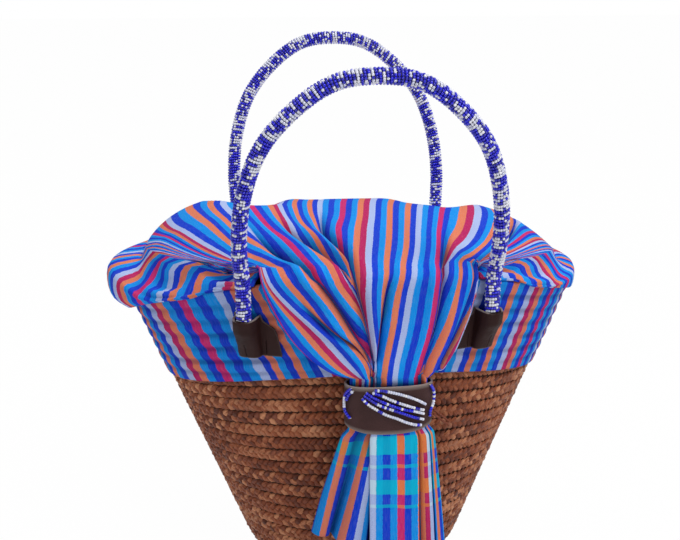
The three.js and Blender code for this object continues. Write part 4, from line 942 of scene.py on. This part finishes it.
for which, sign in (("front", 1), ("rear", -1)):
    turn_z = np.array([sign, sign, 1.0])
    path, at = even(handle_path(MOUTH_Z - 3), 0.5)
    count = int(at[-1] / BEAD_PITCH * BEADS_ROUND)
    s = (np.arange(count) + 0.5) / BEADS_ROUND * BEAD_PITCH
    centre, tang, norm = (sample(s, at, q) for q in (path, *carried_normals(path)))
    tang, norm = unit(tang), unit(norm)
    r_ = np.random.default_rng(31 + sign)
    phi = TAU * np.arange(count) / BEADS_ROUND + 0.25 * np.sin(s / 9.0)
    outward = norm * np.cos(phi)[:, None] + np.cross(tang, norm) * np.sin(phi)[:, None]
    radius = 1.28 * r_.uniform(0.94, 1.04, count)
    seated = centre + outward * (TUBE_R - 1.27) + tang * r_.uniform(-0.1, 0.1, (count, 1))
    pile = Pile()
    add_beads(pile, seated * turn_z, np.cross(tang, outward) * turn_z, outward * turn_z,
              2.12 * r_.uniform(0.9, 1.06, count), radius, bead_tones(count, 71 + sign))
    beads = pile.make(which + "_handle_seed_beads", bead_mat, body=None, slot="beads",
                      replaces=[which + "_handle_beads", which + "_left_bead_neck", which + "_right_bead_neck"])
    rope = Pile()
    path, at = even(handle_path(MOUTH_Z - 8.8), 1.6)
    phi = np.arange(PLY_SIDES) / PLY_SIDES * TAU
    for k, ply in twisted(path, at, 21.0, 3, 2.2):
        lay = joined(at[:, None], np.cos(phi) * PLY_R + k * 9, np.sin(phi) * PLY_R)
        rope.add(*tube(ply * turn_z, PLY_R, PLY_SIDES), lay=lay)
    ropes = rope.make(which + "_handle_rope_plies", rope_mat, body=None, slot="rope",
                      replaces=[which + "_handle_rope", which + "_left_rope_end", which + "_right_rope_end"])
    y = FOOT_Y * sign
    for piece in (beads, ropes):
        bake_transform(piece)

# strings of beads on the cuff: how common white is, then places round the cuff (1 is its right end) and up it
STRINGS = {
    "cuff_strand_1": (0.66, [(-0.17, 0.95), (-0.068, 0.94), (0.072, 0.84), (0.2, 0.75), (0.332, 0.655),
                             (0.508, 0.52)]),
    "cuff_strand_2": (0.5, [(-0.2, 0.9), (-0.089, 0.83), (0.003, 0.7), (0.097, 0.6), (0.282, 0.475),
                            (0.47, 0.39)]),
    "cuff_strand_3": (0.26, [(-0.294, 0.9), (-0.204, 0.8), (-0.1, 0.7), (-0.02, 0.61), (0.123, 0.46),
                             (0.284, 0.39), (0.474, 0.295)]),
    "cuff_strand_4": (0.26, [(-0.327, 0.83), (-0.232, 0.735), (-0.124, 0.61), (-0.027, 0.515), (0.137, 0.345),
                             (0.253, 0.26), (0.468, 0.16)]),
    "cuff_strand_5": (0.56, [(-0.361, 0.76), (-0.262, 0.62), (-0.123, 0.465), (-0.03, 0.345), (0.056, 0.235),
                             (0.139, 0.15), (0.291, 0.06), (0.42, 0.03)]),
    "cuff_loop_left_outer": (0.5, [(-0.6, 0.97), (-0.8, 0.78), (-0.85, 0.55), (-0.8, 0.37), (-0.62, 0.235)]),
    "cuff_loop_left_inner": (0.5, [(-0.55, 0.91), (-0.68, 0.79), (-0.745, 0.65)]),
    "cuff_loop_right": (0.4, [(0.64, 0.97), (0.79, 0.8), (0.84, 0.62), (0.77, 0.46), (0.65, 0.34), (0.64, 0.19)])}
STRING_OUT = 1.6
for number, (name, (common, keys)) in enumerate(STRINGS.items()):
    turn_, height = np.array(keys).T
    keys = on_cuff(turn_ * math.pi / 2, CUFF_LOW + CUFF_H * height, STRING_OUT)
    path, _ = even(catmull(keys, 30), 2.15)
    mids = (path[1:] + path[:-1]) / 2
    outward = unit(np.stack([mids[:, 0] - CUFF_X, (mids[:, 1] - CUFF_Y) * 3, 0 * mids[:, 0]], -1))
    r_ = np.random.default_rng(200 + number)
    pile = Pile()
    add_beads(pile, mids, np.diff(path, axis=0), outward, 2.05, 1.45 * r_.uniform(0.94, 1.03, len(mids)),
              bead_tones(len(mids), 300 + number, 6, common))
    pile.make(name + "_beads", bead_mat, replaces=[name], slot="beads")
    thread_path = np.concatenate([[path[0] - outward[0] * STRING_OUT], path, [path[-1] - outward[-1] * STRING_OUT]])
    v, q, ends = tube(thread_path, 0.34, 6)
    make(name + "_thread", v, q, {"lay": joined(np.arange(len(thread_path))[:, None] * 2.0, np.zeros(6), 0)},
         thread_mat, ends, slot="beads")

# laces from the cuff into the wall
for number, name in enumerate(("cuff_lace_upper", "cuff_lace_lower")):
    high = CUFF_LOW + CUFF_H * 0.3 - number * 4
    start = on_cuff(0.86 * math.pi / 2, high, 1.5)
    x, z = start[0] + 22, high - 30
    end = np.array([x, -(front_depth(x, z) + 1.5), z])
    middle = (start + end) / 2
    middle[1] = min(middle[1], -(front_depth(middle[0], middle[2]) + 4))
    path, at = even(catmull([start, middle, end], 24), 0.7)
    pile = Pile()
    for k, ply in twisted(path, at, 3.6, 2, 0.5):
        pile.add(*tube(ply, 0.58, 7), lay=joined(at[:, None], k, np.arange(7) * 0.3))
    pile.make(name + "_cord", lace_mat, replaces=[name], slot="lace")

# ---------------------------------------------------------------- leather tabs
TAB_W, TAB_LOW, TAB_DROP, TAB_DIP, LEATHER = 21.0, 36.0, 34.0, 3.5, 2.0
# down a tab: height share, how far it has widened and how far it still bulges over the handle
TAB_ROWS = np.array([[0, 0, 1], [0.16, 0.12, 1], [0.34, 0.72, 0.95], [0.5, 0.84, 0.7], [0.75, 0.93, 0.45],
                     [1, 1, 0.32]])
# across the bulge: sideways and up round the handle, and the share of the handle's height over the collar
BULGE = [(0, 1, 1), (0.71, 0.71, 1), (1, 0, 1), (1, 0, 0.45), (1.12, 0, 0)]
TAB_N, TAB_LEVELS, TAB_T, SLIT_L = 73, 33, 1.8, 13


def seat_at(z):
    angle, share = foot_angle, 1.0
    for _ in range(24):
        share = z / (H + RISE * math.sin(angle) ** 2 * math.sqrt(share))
        a, b = lerp(R0, A, share), lerp(R0, B, share)
        tx, ty = -a * math.sin(angle), b * math.cos(angle)
        dx, dy = FOOT_X - a * math.cos(angle), -FOOT_Y - b * math.sin(angle)
        angle += (dx * tx + dy * ty) / (tx * tx + ty * ty)
    seat = on_wall(share, angle)
    return share, angle, math.hypot(FOOT_X - seat[0], -FOOT_Y - seat[1])


def tab_point(across, z, out):
    share, angle, _ = seat_at(z)
    slip = across / math.hypot(lerp(R0, A, share) * math.sin(angle), lerp(R0, B, share) * math.cos(angle))
    p = on_wall(share, angle - slip, COLLAR_OUT + out)
    return np.array([p[0], -p[1], z])


def tab_section(height):
    widening, bulge = (np.interp(height, TAB_ROWS[:, 0], TAB_ROWS[:, k]) for k in (1, 2))
    wrap = (TUBE_R + 0.6) / math.cos(math.pi / 8)
    outer_edge = TAB_W / 2 + LEATHER / 2
    inner_edge = lerp(TAB_W, TAB_LOW, widening) - TAB_W / 2
    level_z = MOUTH_Z + TAB_DIP - height * (TAB_DROP + TAB_DIP)
    rope_height = seat_at(level_z)[2] - COLLAR_OUT - SEAM
    half = [(x * wrap, (up * wrap + seat * rope_height) * bulge) for x, up, seat in BULGE]
    keys = [(-inner_edge, 0)] + [(-x, y) for x, y in half[:0:-1]] + half + [(outer_edge, 0)]
    return np.array(keys), level_z, outer_edge


def resample(points, n):
    s = run_along(points)
    return sample(np.linspace(0, 1, n) * s[-1], s, points)


tab_heights = np.linspace(0, 1, TAB_LEVELS)
tab_under, tab_across = [], []
for height in tab_heights:
    keys, level_z, outer_edge = tab_section(height)
    line = resample(relaxed(resample(keys, TAB_N * 4), 60), TAB_N)
    dips = TAB_DIP * (1 - np.minimum(1, np.abs(line[:, 0]) / outer_edge) ** 2) * (1 - smooth(height, 0, 0.12))
    tab_under.append([tab_point(across, level_z - dip, SEAM + lift) for (across, lift), dip in zip(line, dips)])
    tab_across.append(line[:, 0])
tab_under = np.array(tab_under)
N = grid_normals(tab_under)
mask = np.ones((TAB_LEVELS - 1, TAB_N - 1), bool)
for i in np.flatnonzero(tab_heights[:-1] > 1 - SLIT_L / TAB_DROP):
    middles = (tab_across[i][1:] + tab_across[i][:-1]) / 2
    for q in (0.27, 0.66):
        mask[i, np.argmin(np.abs(middles - (TAB_W / 2 - q * TAB_LOW)))] = False
worn = np.zeros(tab_under.shape[:2])
worn[0] = 1.0
worn[:, [0, -1]] = 0.35
worn[-1] = 0.45
for corner, sx, sy in (("front_left", -1, 1), ("front_right", 1, 1), ("rear_left", -1, -1), ("rear_right", 1, -1)):
    flip, way = np.array([sx, sy, 1.0]), -1 if sx * sy > 0 else 1
    P, Nn, msk = ((tab_under + N * TAB_T) * flip)[:, ::way], (N * flip)[:, ::way], mask[:, ::way]
    verts, quads = shell(P, TAB_T, normals=Nn, mask=msk)
    used = np.zeros(len(verts), bool)
    used[np.unique(quads)] = True
    edge = np.concatenate([worn.ravel() * 0.75, worn.ravel()])[used]
    make(corner + "_tab_leather", verts[used], (np.cumsum(used) - 1)[quads], {"edge": edge, "place": verts[used]},
         leather_mat, replaces=[corner + "_tab"], slot="leather")

# ---------------------------------------------------------------- floor, backdrop and light
PURE_WHITE = (1, 1, 1, 1)


def empty_tree(owner):
    owner.use_nodes = True
    owner.node_tree.nodes.clear()
    return owner.node_tree


def seen_by(tree, ray):
    """1 for camera rays and for one other kind of ray, 0 for the rest."""
    path = add_node(tree, "LightPath")
    return add_node(tree, "Math", path.outputs["Is Camera Ray"], path.outputs[ray], operation="MAXIMUM").outputs[0]


def blend_shaders(tree, output, share, *shaders):
    add_node(tree, output, add_node(tree, "MixShader", share, *(s.outputs[0] for s in shaders)).outputs[0])


floor = bpy.data.materials.new("pale_floor")
tree = empty_tree(floor)
lit = add_node(tree, "Math", seen_by(tree, "Is Glossy Ray"), 0.985, operation="MULTIPLY").outputs[0]
blend_shaders(tree, "OutputMaterial", lit, add_node(tree, "BsdfDiffuse", (0.9, 0.9, 0.9, 1)),
              add_node(tree, "Emission", PURE_WHITE))
plane = bpy.data.meshes.new("floor")
plane.from_pydata([(-8, -8, 0), (8, -8, 0), (8, 8, 0), (-8, 8, 0)], [], [(0, 1, 2, 3)])
plane.materials.append(floor)
ground = bpy.data.objects.new("floor", plane)
bpy.context.scene.collection.objects.link(ground)

world = bpy.data.worlds.new("studio")
bpy.context.scene.world = world
tree = empty_tree(world)
blend_shaders(tree, "OutputWorld", seen_by(tree, "Is Transmission Ray"),
              add_node(tree, "Background", PURE_WHITE, 0.36), add_node(tree, "Background", PURE_WHITE, 1.0))


def lamp(name, place, aim, size, power):
    data = bpy.data.lights.new(name, "AREA")
    data.shape, data.size, data.size_y, data.energy = "RECTANGLE", size, size, power
    obj = bpy.data.objects.new(name, data)
    obj.location = place
    obj.rotation_euler = (Vector(aim) - Vector(place)).to_track_quat("-Z", "Y").to_euler()
    bpy.context.scene.collection.objects.link(obj)


lamp("key", (0.85, -1.15, 2.1), (0, 0, 0.2), 1.2, 27)
lamp("fill", (-1.5, -1.2, 1.1), (0, 0, 0.2), 1.5, 4)
lamp("top", (0.1, 0.4, 2.0), (0, 0, 0.25), 1.2, 12)

bpy.context.scene.view_settings.view_transform = "Standard"
